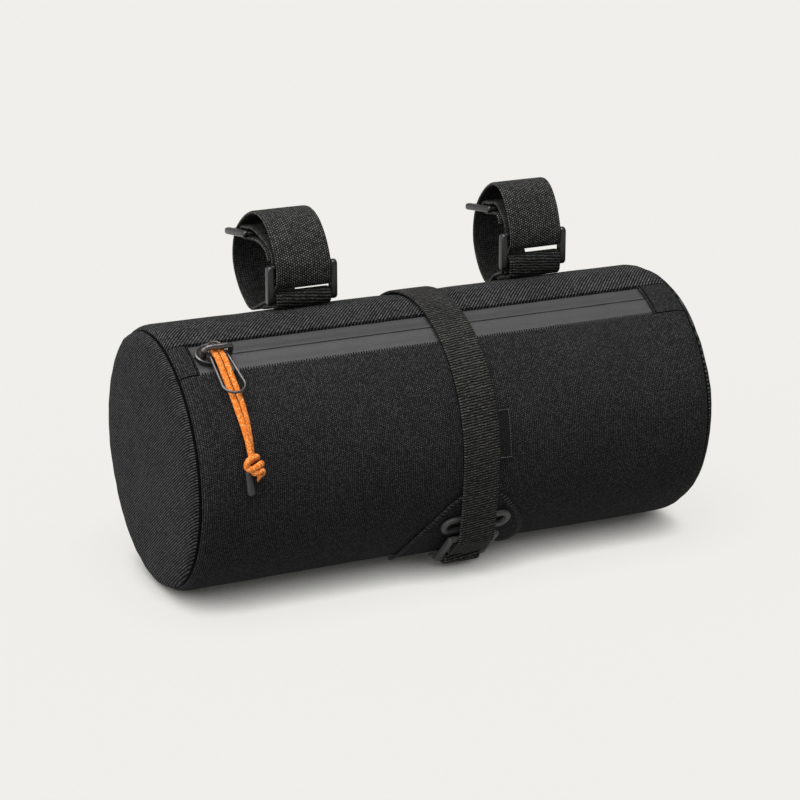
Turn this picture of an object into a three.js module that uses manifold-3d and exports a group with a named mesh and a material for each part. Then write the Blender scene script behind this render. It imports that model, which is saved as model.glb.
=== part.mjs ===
// A barrel-shaped bicycle handlebar bag: a sewn cloth barrel closed by two puffed end discs, with a
// coated zipper on its upper front, two webbing loops for the handlebar and a strap round its middle.
//
// Millimetres. X runs along the barrel, -Y is the front, +Z is up, and the bag stands on z = 0.
// The pieces are made about the barrel's axis. An angle there is measured from the front, through the
// top: 0 is the front, 90 the top, 180 the back and -90 the bottom.

import * as THREE from 'three';
import { mergeVertices } from 'three/addons/utils/BufferGeometryUtils.js';
import Module from 'manifold-3d';

const wasm = await Module();
wasm.setup();

// Barrel
const BARREL_LENGTH = 282;
const BARREL_RADIUS = 67.5;
const WALL = 2;
const EDGE_DROP = 2.6;
const EDGE_RUN = 7;
const FLAT_DEPTH = 0.7;
const REAR_SEAM_ANGLE = 215;
const CLEARANCE = 0.34;
const FOLD_CLEARANCE = 0.6;

// End discs
const CAP_BULGE = 6;
const CAP_WALL = 2.4;

// Zipper
const ZIP_ANGLE = 64;
const UPPER_TAPE_WIDTH = 9.1;
const LOWER_TAPE_WIDTH = 11.4;
const TAPE_WALL = 1;
const TEETH_GAP = 0.6;
const GARAGE_WALL = 1;
const GARAGE_LEFT_LENGTH = 10.4;
const GARAGE_RIGHT_LENGTH = 19;

// Zipper slider and its pull
const SLIDER_FROM_END = 20.7;
const SLIDER_X = SLIDER_FROM_END - BARREL_LENGTH / 2;
const SLIDER_LENGTH = 19;
const SLIDER_WIDTH = 14.8;
const SLIDER_PLATE = 2.1;
const BRIDGE_WIRE = 2.8;
const BRIDGE_ASIDE = 1.2;
const BRIDGE_DOWN = 1.5;
const PULL_WIRE = 1.4;
const PULL_LENGTH = 33;
const PULL_BEHIND_BRIDGE = 4.9;
const PULL_LIFT = 1.7;
const PULL_TILT = 6.5;
const PULL_SLANT = 4;
const PULL_FLARE = 1.38;
const CORD_DIAMETER = 3;
const TIP_LENGTH = 12;
const TIP_DIAMETER = 3.5;
const TIP_ASIDE = 1.4;
const TIP_LEAN = 5;
const TIP_ANGLE = 5.4;

// Middle strap with its ladder lock, lash ring, base patch and blank label
const CENTRE_X = 7.5;
const CENTRE_WIDTH = 20;
const CENTRE_WEBBING = 1.5;
const LOCK_ANGLE = -45.5;
const LOCK_LENGTH = 25;
const LOCK_RAIL = 3.2;
const LOCK_BAR = 3.2;
const LOCK_LIFT = 4.5;
const RING_ANGLE = -31.5;
const RING_LENGTH = 39;
const RING_HEIGHT = 12;
const RING_BAND = 3.2;
const RING_THICKNESS = 2.3;
const PATCH_WALL = 1.2;
const PATCH_HALF_WIDTH = 33;
const PATCH_TOP_ANGLE = -17;
const PATCH_END_ANGLE = -70;
const LABEL_WIDTH = 6.4;
const LABEL_HEIGHT = 27;
const LABEL_ANGLE = 9.5;
const LABEL_WALL = 1;

// Handlebar straps, their buckles and their keepers
const STRAP_WIDTH = 30;
const STRAP_WEBBING = 2;
const STRAPS = [
  {
    side: 'left',
    x: -56.8,
    loopDepth: 62.2,
    loopHeight: 44.3,
    buckleY: 10,
    buckleLift: 1.8,
    buckleHeight: 20.8,
    lowBar: 2.8,
    middleBar: 12.3,
  },
  {
    side: 'right',
    x: 78.2,
    loopDepth: 44.6,
    loopHeight: 46.7,
    buckleY: 15,
    buckleLift: 3.6,
    buckleHeight: 20.2,
    lowBar: 4.2,
    middleBar: 15,
  },
];
const STRAP_FOOT_END_ANGLE = 116;
const BUCKLE_RAIL = 3.6;
const BUCKLE_RAIL_DEPTH = 5.2;
const BUCKLE_BAR_DEPTH = 3;
const BUCKLE_BAR = 3.4;
const BUCKLE_TOP_BAR = 2.4;
const KEEPER_BAR = 2.6;
const KEEPER_BAR_DEPTH = 2.2;
const KEEPER_RAIL_DEPTH = 3.6;
const KEEPER_TILT = -9;
const KEEPER_REACH = 12;
const KEEPER_BEFORE_LOOP = 9.6;
const KEEPER_BEHIND_LOOP = 4.2;

// Colours
const CLOTH = { color: 0x1c1c1d, roughness: 0.95, metalness: 0 };
const WEBBING = { color: 0x202021, roughness: 0.9, metalness: 0 };
const COATED_TAPE = { color: 0x4a4a4b, roughness: 0.55, metalness: 0 };
const PLASTIC = { color: 0x2b2b2c, roughness: 0.5, metalness: 0 };
const DARK_METAL = { color: 0x3a3838, roughness: 0.3, metalness: 0.9 };
const ORANGE_CORD = { color: 0xf07a1c, roughness: 0.8, metalness: 0 };
const SLEEVE = { color: 0x303133, roughness: 0.6, metalness: 0 };

// Outline of the puffed end disc: how far it stands out, as a share of its bulge, and its radius as a
// share of the seam's radius. The rows run from the seam over the rim to the middle.
const CAP_OUTLINE = [
  { out: 0.05, radius: 0.985 },
  { out: 0.22, radius: 1 },
  { out: 0.45, radius: 0.993 },
  { out: 0.68, radius: 0.955 },
  { out: 0.84, radius: 0.86 },
  { out: 0.95, radius: 0.56 },
];

// Course of a handlebar loop from the sewn foot round the back and over the top to the buckle: back is
// a share of the loop's depth and up a share of its height above the barrel.
const LOOP_COURSE = [
  { back: 0.609, up: -0.2 },
  { back: 0.768, up: -0.119 },
  { back: 0.908, up: 0.047 },
  { back: 0.982, up: 0.25 },
  { back: 0.978, up: 0.44 },
  { back: 0.911, up: 0.638 },
  { back: 0.802, up: 0.783 },
  { back: 0.659, up: 0.907 },
  { back: 0.517, up: 0.981 },
  { back: 0.374, up: 0.991 },
  { back: 0.24, up: 0.928 },
  { back: 0.128, up: 0.801 },
  { back: 0.05, up: 0.652 },
];
const KEEPER_ROW = 5;

// Half width of the base patch down its length, as shares of its length and of its widest half.
const PATCH_OUTLINE = [
  { down: 0, half: 0.32 },
  { down: 0.06, half: 0.46 },
  { down: 0.16, half: 0.62 },
  { down: 0.3, half: 0.8 },
  { down: 0.45, half: 0.93 },
  { down: 0.6, half: 1 },
  { down: 0.8, half: 1 },
  { down: 1, half: 0.96 },
];

// Course of the pull cord from the slider down to the knot: how far it has drifted along the barrel
// from the slider, its angle, the height of the two strands' middle over the cloth while they lie side
// by side, and how far the pair has turned about that middle.
const CORD_ROUTE = [
  { drift: 1.2, angle: 63.2, lift: 3.1, turn: 0 },
  { drift: 1.25, angle: 61.6, lift: 3.2, turn: 0 },
  { drift: 1.35, angle: 59.6, lift: 3.45, turn: 0 },
  { drift: 1.5, angle: 57.6, lift: 3.4, turn: 0 },
  { drift: 1.75, angle: 54.6, lift: 2.7, turn: 0 },
  { drift: 2.05, angle: 51, lift: 2, turn: 0 },
  { drift: 2.4, angle: 47, lift: 1.85, turn: 0 },
  { drift: 2.75, angle: 43, lift: 1.85, turn: 0 },
  { drift: 3.05, angle: 39, lift: 1.85, turn: 3 },
  { drift: 3.35, angle: 35, lift: 1.85, turn: 10 },
  { drift: 3.6, angle: 31, lift: 1.85, turn: 22 },
  { drift: 3.8, angle: 27, lift: 1.85, turn: 36 },
  { drift: 3.95, angle: 23, lift: 1.9, turn: 49 },
  { drift: 4, angle: 20, lift: 2, turn: 57 },
  { drift: 4, angle: 18, lift: 2.1, turn: 61 },
];
const STRAND_HALF_SPACING = 1.67;

const radians = THREE.MathUtils.degToRad;
const degrees = THREE.MathUtils.radToDeg;
const SEAM_RADIUS = BARREL_RADIUS - EDGE_DROP;
const FLOOR_DROP = BARREL_RADIUS - FLAT_DEPTH;
const TAPE_MARGIN = TEETH_GAP / 2 + CLEARANCE;
const ZIP_TOP_ANGLE = ZIP_ANGLE + degrees((UPPER_TAPE_WIDTH + TAPE_MARGIN) / BARREL_RADIUS);
const ZIP_BOTTOM_ANGLE = ZIP_ANGLE - degrees((LOWER_TAPE_WIDTH + TAPE_MARGIN) / BARREL_RADIUS);
const GAP_ANGLE = degrees(CLEARANCE / BARREL_RADIUS);
const FLAT_HALF_ANGLE = degrees(Math.acos(FLOOR_DROP / BARREL_RADIUS));
const FLOOR_EDGES = [-90 - FLAT_HALF_ANGLE, -90 + FLAT_HALF_ANGLE];
const TAPE_TOP = BARREL_RADIUS - GARAGE_WALL - CLEARANCE;
const PLATE_TOP = TAPE_TOP + CLEARANCE + SLIDER_PLATE;
const BRIDGE_HEIGHT = PLATE_TOP + 2.5 * CLEARANCE + CORD_DIAMETER + BRIDGE_WIRE / 2;
const PATCH_TOP = BARREL_RADIUS + CLEARANCE + PATCH_WALL;
const RING_TOP = PATCH_TOP + CLEARANCE + RING_THICKNESS;
const LOCK_HEIGHT = PATCH_TOP + LOCK_LIFT;
const CENTRE_PITCH = LOCK_BAR / 2 + FOLD_CLEARANCE + CENTRE_WEBBING / 2;

function polar(angle, radius) {
  return new THREE.Vector2(-radius * Math.cos(radians(angle)), radius * Math.sin(radians(angle)));
}

// The point s down the barrel and n out from the axis, in the plane that touches it at an angle.
function tangentPoint(angle, s, n) {
  const out = polar(angle, 1);
  const down = new THREE.Vector2(-Math.sin(radians(angle)), -Math.cos(radians(angle)));
  return out.multiplyScalar(n).addScaledVector(down, s);
}

function smoothCourse(points, steps) {
  const spatial = points.map((p) => new THREE.Vector3(p.x, p.y, 0));
  const curve = new THREE.CatmullRomCurve3(spatial, false, 'centripetal');
  return curve.getPoints(steps).map((p) => new THREE.Vector2(p.x, p.y));
}

function solidOf(geometry) {
  const bare = geometry.clone();
  bare.deleteAttribute('normal');
  bare.deleteAttribute('uv');
  const merged = mergeVertices(bare, 1e-4);
  const mesh = new wasm.Mesh({
    numProp: 3,
    vertProperties: Float32Array.from(merged.attributes.position.array),
    triVerts: Uint32Array.from(merged.index.array),
  });
  return new wasm.Manifold(mesh);
}

function joined(...geometries) {
  const whole = geometries.map(solidOf).reduce((sum, next) => sum.add(next));
  const mesh = whole.getMesh();
  const geometry = new THREE.BufferGeometry();
  geometry.setAttribute('position', new THREE.BufferAttribute(Float32Array.from(mesh.vertProperties), 3));
  geometry.setIndex(Array.from(mesh.triVerts));
  geometry.computeVertexNormals();
  return geometry;
}

// A closed body through rings of points, each ring a closed outline of equal count.
function loft(rings, endFaces) {
  const count = rings[0].length;
  const positions = rings.flat().flatMap((p) => [p.x, p.y, p.z]);
  const index = [];
  const last = endFaces ? rings.length - 1 : rings.length;
  for (let k = 0; k < last; k += 1) {
    const here = k * count;
    const there = ((k + 1) % rings.length) * count;
    for (let i = 0; i < count; i += 1) {
      const j = (i + 1) % count;
      index.push(here + i, there + i, here + j);
      index.push(here + j, there + i, there + j);
    }
  }
  if (endFaces) {
    const finish = (rings.length - 1) * count;
    for (const [a, b, c] of endFaces) {
      index.push(a, b, c);
      index.push(finish + a, finish + c, finish + b);
    }
  }
  const geometry = new THREE.BufferGeometry();
  geometry.setAttribute('position', new THREE.Float32BufferAttribute(positions, 3));
  geometry.setIndex(index);
  geometry.computeVertexNormals();
  return geometry;
}

// Distance from the axis, where the bag's weight flattens the cloth against the floor.
function restedRadius(radius, depth, angle) {
  const fall = -Math.sin(radians(angle));
  return fall > 0 ? Math.min(radius, (FLOOR_DROP - depth) / fall) : radius;
}

// A body round part of the barrel. Its section is a closed outline of x and r, wound from +x to +r,
// where depth is how far a point lies under the cloth's outer face.
function sweepRound(section, fromAngle, toAngle, steps) {
  const rings = [];
  const stride = (toAngle - fromAngle) / steps;
  for (let k = 0; k <= steps; k += 1) {
    const even = fromAngle + stride * k;
    const angle = FLOOR_EDGES.find((edge) => Math.abs(edge - even) < Math.abs(stride) / 2) ?? even;
    const ring = section(k / steps).map((p) => {
      const flat = polar(angle, restedRadius(p.r, p.depth, angle));
      return new THREE.Vector3(p.x, flat.x, flat.y);
    });
    rings.push(ring);
  }
  const outline = section(0).map((p) => new THREE.Vector2(p.x, p.r));
  return loft(rings, THREE.ShapeUtils.triangulateShape(outline, []));
}

function bandSection(x0, x1, inner, outer) {
  return [
    { x: x0, r: inner, depth: 0 },
    { x: x1, r: inner, depth: 0 },
    { x: x1, r: outer, depth: 0 },
    { x: x0, r: outer, depth: 0 },
  ];
}

// How far the cloth's outer face has fallen towards the end seam, at a share of the edge's run.
function edgeFall(share) {
  return EDGE_DROP * (1 - Math.sqrt(1 - share * share));
}

// Section of the barrel's cloth from one x to another: each end that reaches a seam is rounded in.
function clothSection(x0, x1, wall) {
  const seam = BARREL_LENGTH / 2;
  const start = seam - EDGE_RUN;
  const shares = [0, 0.5, 0.82, 1];
  const outer = [];
  if (x0 === -seam) {
    shares.forEach((s) => outer.push({ x: -start - s * EDGE_RUN, fall: edgeFall(s) }));
    outer.reverse();
  } else {
    outer.push({ x: x0, fall: 0 });
  }
  if (x1 === seam) {
    shares.forEach((s) => outer.push({ x: start + s * EDGE_RUN, fall: edgeFall(s) }));
  } else {
    outer.push({ x: x1, fall: 0 });
  }
  const under = outer.map((p) => ({ x: p.x, r: BARREL_RADIUS - p.fall - wall, depth: wall }));
  const over = outer.map((p) => ({ x: p.x, r: BARREL_RADIUS - p.fall, depth: 0 }));
  return under.concat(over.reverse());
}

// A band of even thickness along a flat course, as an outline.
function bandShape(course, thickness) {
  const left = [];
  const right = [];
  course.forEach((point, i) => {
    const before = course[Math.max(i - 1, 0)];
    const after = course[Math.min(i + 1, course.length - 1)];
    const along = after.clone().sub(before).normalize();
    const side = new THREE.Vector2(-along.y, along.x).multiplyScalar(thickness / 2);
    left.push(point.clone().add(side));
    right.push(point.clone().sub(side));
  });
  return new THREE.Shape(right.concat(left.reverse()));
}

// An outline in the Y and Z plane, drawn out along X about a middle x.
function drawnAlongX(shape, width) {
  const geometry = new THREE.ExtrudeGeometry(shape, { depth: width, bevelEnabled: false, curveSegments: 6 });
  geometry.translate(0, 0, -width / 2);
  const turn = new THREE.Matrix4().makeBasis(
    new THREE.Vector3(0, 1, 0),
    new THREE.Vector3(0, 0, 1),
    new THREE.Vector3(1, 0, 0),
  );
  return geometry.applyMatrix4(turn);
}

// A flat plate about z = 0 with rounded edges.
function plate(shape, thickness, rounding, curveSegments = 6, bevelSegments = 2) {
  const geometry = new THREE.ExtrudeGeometry(shape, {
    depth: thickness - 2 * rounding,
    bevelThickness: rounding,
    bevelSize: rounding,
    bevelOffset: -rounding,
    bevelSegments,
    curveSegments,
  });
  return geometry.translate(0, 0, rounding - thickness / 2);
}

function roundedBox(outline, x0, x1, y0, y1, radius) {
  outline.moveTo(x0 + radius, y0);
  outline.lineTo(x1 - radius, y0);
  outline.absarc(x1 - radius, y0 + radius, radius, -Math.PI / 2, 0, false);
  outline.absarc(x1 - radius, y1 - radius, radius, 0, Math.PI / 2, false);
  outline.absarc(x0 + radius, y1 - radius, radius, Math.PI / 2, Math.PI, false);
  outline.absarc(x0 + radius, y0 + radius, radius, Math.PI, 1.5 * Math.PI, false);
  return outline;
}

function slot(x0, x1, y0, y1) {
  return new THREE.Path([
    new THREE.Vector2(x0, y0),
    new THREE.Vector2(x1, y0),
    new THREE.Vector2(x1, y1),
    new THREE.Vector2(x0, y1),
  ]);
}

// A frame of two rails and several bars. The bars lie along x, at heights from the lower end.
function ladder({ width, length, rail, railDepth, barDepth, bars }) {
  const half = width / 2;
  const lowest = bars[0].at - bars[0].size / 2;
  const highest = bars[bars.length - 1].at + bars[bars.length - 1].size / 2;
  const outline = roundedBox(new THREE.Shape(), -half, half, lowest, highest, rail * 0.9);
  for (let i = 0; i + 1 < bars.length; i += 1) {
    const low = bars[i].at + bars[i].size / 2;
    const high = bars[i + 1].at - bars[i + 1].size / 2;
    outline.holes.push(slot(rail - half, half - rail, low, high));
  }
  const thinnest = Math.min(barDepth, ...bars.map((bar) => bar.size));
  const frame = plate(outline, barDepth, thinnest * 0.36, 2, 1);
  const rails = [-1, 1].map((side) => {
    const middle = side * (half - rail / 2);
    const shape = roundedBox(new THREE.Shape(), middle - rail / 2, middle + rail / 2, 0, length, rail * 0.42);
    return plate(shape, railDepth, rail * 0.22, 2, 1);
  });
  return joined(frame, ...rails);
}

function wire(points, diameter, sides, steps) {
  const section = new THREE.Shape();
  section.absarc(0, 0, diameter / 2, 0, 2 * Math.PI, false);
  const path = new THREE.CatmullRomCurve3(points, false, 'centripetal');
  return new THREE.ExtrudeGeometry(section, {
    steps,
    extrudePath: path,
    bevelEnabled: false,
    curveSegments: sides,
  });
}

const bag = new THREE.Group();
const loose = new THREE.Group();
bag.add(loose);

function add(name, geometry, look, parent = bag) {
  const mesh = new THREE.Mesh(geometry, new THREE.MeshStandardMaterial(look));
  mesh.name = name;
  parent.add(mesh);
  return mesh;
}

// Stands a piece on the barrel at an angle: its own y runs up round the barrel and its z out.
function seat(mesh, x, angle, radius) {
  const place = polar(angle, radius);
  mesh.position.set(x, place.x, place.y);
  mesh.rotation.x = Math.PI / 2 - radians(angle);
}

function addPanels() {
  const seam = BARREL_LENGTH / 2;
  const section = clothSection(-seam, seam, WALL);
  const top = sweepRound(() => section, ZIP_TOP_ANGLE, REAR_SEAM_ANGLE, 28);
  add('top_panel', top, CLOTH);
  const frontEnd = REAR_SEAM_ANGLE - 360 + GAP_ANGLE;
  add('front_panel', sweepRound(() => section, frontEnd, ZIP_BOTTOM_ANGLE, 40), CLOTH);
}

function addCaps() {
  const outer = CAP_OUTLINE.map((row) => [row.radius * SEAM_RADIUS, row.out * CAP_BULGE]);
  outer.push([0, CAP_BULGE]);
  const inner = CAP_OUTLINE.slice(3).map((row) => {
    return [row.radius * SEAM_RADIUS - CAP_WALL, row.out * CAP_BULGE - CAP_WALL];
  });
  inner.unshift([SEAM_RADIUS * CAP_OUTLINE[0].radius - CAP_WALL, CAP_OUTLINE[0].out * CAP_BULGE]);
  inner.push([0, CAP_BULGE - CAP_WALL]);
  const ring = outer.concat(inner.reverse());
  const profile = ring.concat([ring[0]]).reverse().map(([r, out]) => new THREE.Vector2(r, -out));
  for (const [side, turn] of [['left', Math.PI], ['right', 0]]) {
    const cap = add(`end_cap_${side}`, new THREE.LatheGeometry(profile, 44), CLOTH);
    cap.rotation.z = Math.PI / 2 + turn;
    cap.position.x = Math.cos(turn) * BARREL_LENGTH / 2;
  }
}

function addZipper() {
  const reach = BARREL_LENGTH / 2 - EDGE_RUN - CLEARANCE;
  const tape = bandSection(-reach, reach, TAPE_TOP - TAPE_WALL, TAPE_TOP);
  const near = degrees(TEETH_GAP / 2 / BARREL_RADIUS);
  const high = ZIP_ANGLE + near + degrees(UPPER_TAPE_WIDTH / BARREL_RADIUS);
  const low = ZIP_ANGLE - near - degrees(LOWER_TAPE_WIDTH / BARREL_RADIUS);
  add('zipper_tape_upper', sweepRound(() => tape, ZIP_ANGLE + near, high, 2), COATED_TAPE);
  add('zipper_tape_lower', sweepRound(() => tape, low, ZIP_ANGLE - near, 2), COATED_TAPE);
  const seam = BARREL_LENGTH / 2;
  const ends = [
    ['left', clothSection(-seam, GARAGE_LEFT_LENGTH - seam, GARAGE_WALL)],
    ['right', clothSection(seam - GARAGE_RIGHT_LENGTH, seam, GARAGE_WALL)],
  ];
  for (const [side, section] of ends) {
    const from = ZIP_BOTTOM_ANGLE + GAP_ANGLE;
    const to = ZIP_TOP_ANGLE - GAP_ANGLE;
    add(`zipper_garage_${side}`, sweepRound(() => section, from, to, 3), CLOTH);
  }
}

function addSlider() {
  const outline = new THREE.Shape();
  outline.absellipse(0, 0, SLIDER_LENGTH / 2, SLIDER_WIDTH / 2, 0, 2 * Math.PI, false);
  const body = plate(outline, SLIDER_PLATE, 0.5, 12, 1);
  const post = cordTunnelHalf() + BRIDGE_WIRE / 2;
  const top = BRIDGE_HEIGHT - PLATE_TOP + SLIDER_PLATE / 2;
  const corner = BRIDGE_WIRE * 0.6;
  const half = [
    [post, 0],
    [post, top - corner],
    [post - corner * 0.3, top - corner * 0.3],
    [post - corner, top],
  ];
  const sides = half.map(([x, z]) => [-x, z]).concat([[0, top]], half.slice().reverse());
  const arch = sides.map(([x, z]) => new THREE.Vector3(BRIDGE_ASIDE + x, -BRIDGE_DOWN, z));
  const slider = add('slider_body', joined(body, wire(arch, BRIDGE_WIRE, 4, 14)), DARK_METAL);
  seat(slider, SLIDER_X, ZIP_ANGLE, PLATE_TOP - SLIDER_PLATE / 2);
}

function pullHalfTop() {
  return STRAND_HALF_SPACING + CORD_DIAMETER / 2 + CLEARANCE + PULL_WIRE / 2;
}

function cordTunnelHalf() {
  return pullHalfTop() + PULL_WIRE / 2 + 1.4 * CLEARANCE;
}

// The pull is a long wire loop, a little wider at its lower end, lying over the cord.
function addPullTab() {
  const high = pullHalfTop();
  const low = high * PULL_FLARE;
  const middle = [];
  for (let k = 0; k <= 8; k += 1) {
    const turn = Math.PI * k / 8;
    middle.push(new THREE.Vector2(high * Math.cos(turn), -high + high * Math.sin(turn)));
  }
  for (let k = 0; k <= 8; k += 1) {
    const turn = Math.PI + Math.PI * k / 8;
    middle.push(new THREE.Vector2(low * Math.cos(turn), low - PULL_LENGTH + low * Math.sin(turn)));
  }
  const sides = 8;
  const rings = middle.map((point, i) => {
    const before = middle[(i + middle.length - 1) % middle.length];
    const after = middle[(i + 1) % middle.length];
    const along = after.clone().sub(before).normalize();
    const ring = [];
    for (let k = 0; k < sides; k += 1) {
      const turn = 2 * Math.PI * k / sides;
      const out = Math.cos(turn) * PULL_WIRE / 2;
      ring.push(new THREE.Vector3(
        point.x + along.y * out,
        point.y - along.x * out,
        Math.sin(turn) * PULL_WIRE / 2,
      ));
    }
    return ring;
  });
  const tab = add('pull_tab', loft(rings, null), DARK_METAL);
  const upper = tangentPoint(ZIP_ANGLE, -PULL_BEHIND_BRIDGE, PLATE_TOP + PULL_WIRE / 2 + PULL_LIFT);
  const back = (PULL_BEHIND_BRIDGE + BRIDGE_DOWN) * Math.sin(radians(PULL_SLANT));
  tab.position.set(SLIDER_X + BRIDGE_ASIDE - back, upper.x, upper.y);
  tab.rotation.set(Math.PI / 2 - radians(ZIP_ANGLE) + radians(PULL_TILT), 0, radians(PULL_SLANT));
}

// The cord's turn under the bridge, between the upper ends of its strands.
function addBight() {
  const points = [new THREE.Vector3(STRAND_HALF_SPACING, -0.5, 0)];
  for (let turn = 0; turn <= 180; turn += 30) {
    const x = STRAND_HALF_SPACING * Math.cos(radians(turn));
    points.push(new THREE.Vector3(x, STRAND_HALF_SPACING * Math.sin(radians(turn)), 0));
  }
  points.push(new THREE.Vector3(-STRAND_HALF_SPACING, -0.5, 0));
  const bight = add('cord_bight', wire(points, CORD_DIAMETER, 4, 10), ORANGE_CORD, loose);
  seat(bight, SLIDER_X + CORD_ROUTE[0].drift, ZIP_ANGLE, PLATE_TOP + CLEARANCE + CORD_DIAMETER / 2);
}

function addCord() {
  for (const [side, sign] of [['left', -1], ['right', 1]]) {
    const points = CORD_ROUTE.map((row) => {
      const rise = (1 - sign) * STRAND_HALF_SPACING * Math.sin(radians(row.turn));
      const place = polar(row.angle, BARREL_RADIUS + row.lift + rise);
      const aside = sign * STRAND_HALF_SPACING * Math.cos(radians(row.turn));
      return new THREE.Vector3(SLIDER_X + row.drift + aside, place.x, place.y);
    });
    add(`pull_cord_${side}`, wire(points, CORD_DIAMETER, 4, 15), ORANGE_CORD, loose);
  }
}

// The knot is three lumps of turned cord round a short core, with a short bare end beside the sleeve.
function addKnot() {
  const turnRadius = CORD_DIAMETER * 0.72;
  const lumps = [
    { x: -0.8, y: 3, z: 0, tilt: 0.35, lean: 0.2 },
    { x: 0.7, y: 0.5, z: 0.6, tilt: -0.4, lean: -0.2 },
    { x: 2.6, y: -2.3, z: 0.3, tilt: 0.3, lean: 0.6 },
  ];
  const turns = lumps.map((lump, i) => {
    const size = turnRadius * (1 - i * 0.14);
    const turn = new THREE.TorusGeometry(size, CORD_DIAMETER / 2, 7, 11);
    turn.rotateX(Math.PI / 2 + lump.tilt);
    turn.rotateZ(lump.lean);
    return turn.translate(lump.x, lump.y, lump.z);
  });
  const core = new THREE.CylinderGeometry(1.9, 1.6, 7, 8);
  core.rotateZ(0.4);
  core.translate(0.8, 0.5, 0.4);
  const end = new THREE.CylinderGeometry(1.3, 1, 5, 8);
  end.rotateZ(-0.3);
  end.translate(2, -5, 0);
  const place = { x: SLIDER_X + 4, angle: 12.2, radius: BARREL_RADIUS + CLEARANCE + 1.25 * CORD_DIAMETER };
  const knot = add('cord_knot', joined(...turns, core, end), ORANGE_CORD, loose);
  seat(knot, place.x, place.angle, place.radius);
  const tip = new THREE.CylinderGeometry(TIP_DIAMETER / 2, TIP_DIAMETER * 0.4, TIP_LENGTH, 12);
  tip.rotateZ(radians(TIP_LEAN));
  const sleeve = add('cord_tip', tip, SLEEVE, loose);
  seat(sleeve, place.x - TIP_ASIDE, TIP_ANGLE, BARREL_RADIUS + CLEARANCE + TIP_DIAMETER / 2);
}

// The middle strap runs from its sewn end behind, over the top and down the front to the ladder lock,
// where it passes over the upper bar and turns in round the middle one.
function centreCourse() {
  const lie = BARREL_RADIUS + CLEARANCE + CENTRE_WEBBING / 2;
  const points = [];
  for (let angle = REAR_SEAM_ANGLE - 2; angle > -4; angle -= 6) {
    points.push(polar(angle, lie));
  }
  const over = RING_TOP + CLEARANCE + CENTRE_WEBBING / 2;
  const ringHalf = degrees(RING_HEIGHT / 2 / RING_TOP);
  points.push(polar(PATCH_TOP_ANGLE, PATCH_TOP + CLEARANCE + CENTRE_WEBBING / 2 + 0.1));
  points.push(polar(RING_ANGLE + ringHalf, over / Math.cos(radians(ringHalf)) + 0.1));
  const high = LOCK_HEIGHT + CENTRE_PITCH;
  const low = LOCK_HEIGHT - CENTRE_PITCH;
  const first = LOCK_BAR / 2 - LOCK_LENGTH / 2;
  points.push(tangentPoint(LOCK_ANGLE, first - 1.5, high));
  points.push(tangentPoint(LOCK_ANGLE, first + 1.5, high));
  points.push(tangentPoint(LOCK_ANGLE, -1.2, high));
  for (let turn = 90; turn >= -90; turn -= 30) {
    const s = CENTRE_PITCH * Math.cos(radians(turn));
    const n = CENTRE_PITCH * Math.sin(radians(turn));
    points.push(tangentPoint(LOCK_ANGLE, s, LOCK_HEIGHT + n));
  }
  points.push(tangentPoint(LOCK_ANGLE, -3, low));
  points.push(tangentPoint(LOCK_ANGLE, -6, low));
  return smoothCourse(points, 76);
}

function addCentreStrap() {
  const strap = drawnAlongX(bandShape(centreCourse(), CENTRE_WEBBING), CENTRE_WIDTH);
  add('centre_strap', strap, WEBBING).position.x = CENTRE_X;
}

function addLock() {
  const middle = LOCK_LENGTH / 2;
  const geometry = ladder({
    width: CENTRE_WIDTH + 2 * LOCK_RAIL + 2,
    length: LOCK_LENGTH,
    rail: LOCK_RAIL,
    railDepth: LOCK_BAR,
    barDepth: LOCK_BAR,
    bars: [
      { at: LOCK_BAR / 2, size: LOCK_BAR },
      { at: middle, size: LOCK_BAR },
      { at: LOCK_LENGTH - LOCK_BAR / 2, size: LOCK_BAR },
    ],
  });
  geometry.translate(0, -middle, 0);
  seat(add('ladder_lock', geometry, PLASTIC), CENTRE_X, LOCK_ANGLE, LOCK_HEIGHT);
}

// A short webbing folded round the lock's lower bar, both ends sewn to the base patch.
function addLockAnchor() {
  const lie = PATCH_TOP + 1.4 * CLEARANCE + CENTRE_WEBBING / 2;
  const bar = LOCK_LENGTH / 2 - LOCK_BAR / 2;
  const points = [polar(-67, lie), polar(-63, lie), polar(-59.5, lie)];
  points.push(tangentPoint(LOCK_ANGLE, bar + 1.5, LOCK_HEIGHT - CENTRE_PITCH));
  for (let turn = -90; turn <= 90; turn += 30) {
    const s = bar - CENTRE_PITCH * Math.cos(radians(turn));
    const n = LOCK_HEIGHT + CENTRE_PITCH * Math.sin(radians(turn));
    points.push(tangentPoint(LOCK_ANGLE, s, n));
  }
  points.push(tangentPoint(LOCK_ANGLE, bar + 2.2, LOCK_HEIGHT + CENTRE_PITCH * 0.8));
  points.push(polar(-58.5, lie + 3.6));
  points.push(polar(-61.5, lie + CENTRE_WEBBING + CLEARANCE + 0.3));
  points.push(polar(-64, lie + CENTRE_WEBBING + CLEARANCE));
  const shape = bandShape(smoothCourse(points, 34), CENTRE_WEBBING);
  add('lock_anchor', drawnAlongX(shape, CENTRE_WIDTH), WEBBING).position.x = CENTRE_X;
}

function addPatch() {
  const rows = PATCH_OUTLINE;
  const height = PATCH_END_ANGLE - PATCH_TOP_ANGLE;
  const section = (share) => {
    const down = 1 - share;
    const next = Math.max(rows.findIndex((row) => row.down >= down), 1);
    const part = (down - rows[next - 1].down) / (rows[next].down - rows[next - 1].down);
    const shareOfHalf = THREE.MathUtils.lerp(rows[next - 1].half, rows[next].half, part);
    const half = shareOfHalf * PATCH_HALF_WIDTH;
    return bandSection(CENTRE_X - half, CENTRE_X + half, BARREL_RADIUS + CLEARANCE, PATCH_TOP);
  };
  add('base_patch', sweepRound(section, PATCH_TOP_ANGLE + height, PATCH_TOP_ANGLE, 16), CLOTH);
}

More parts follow.
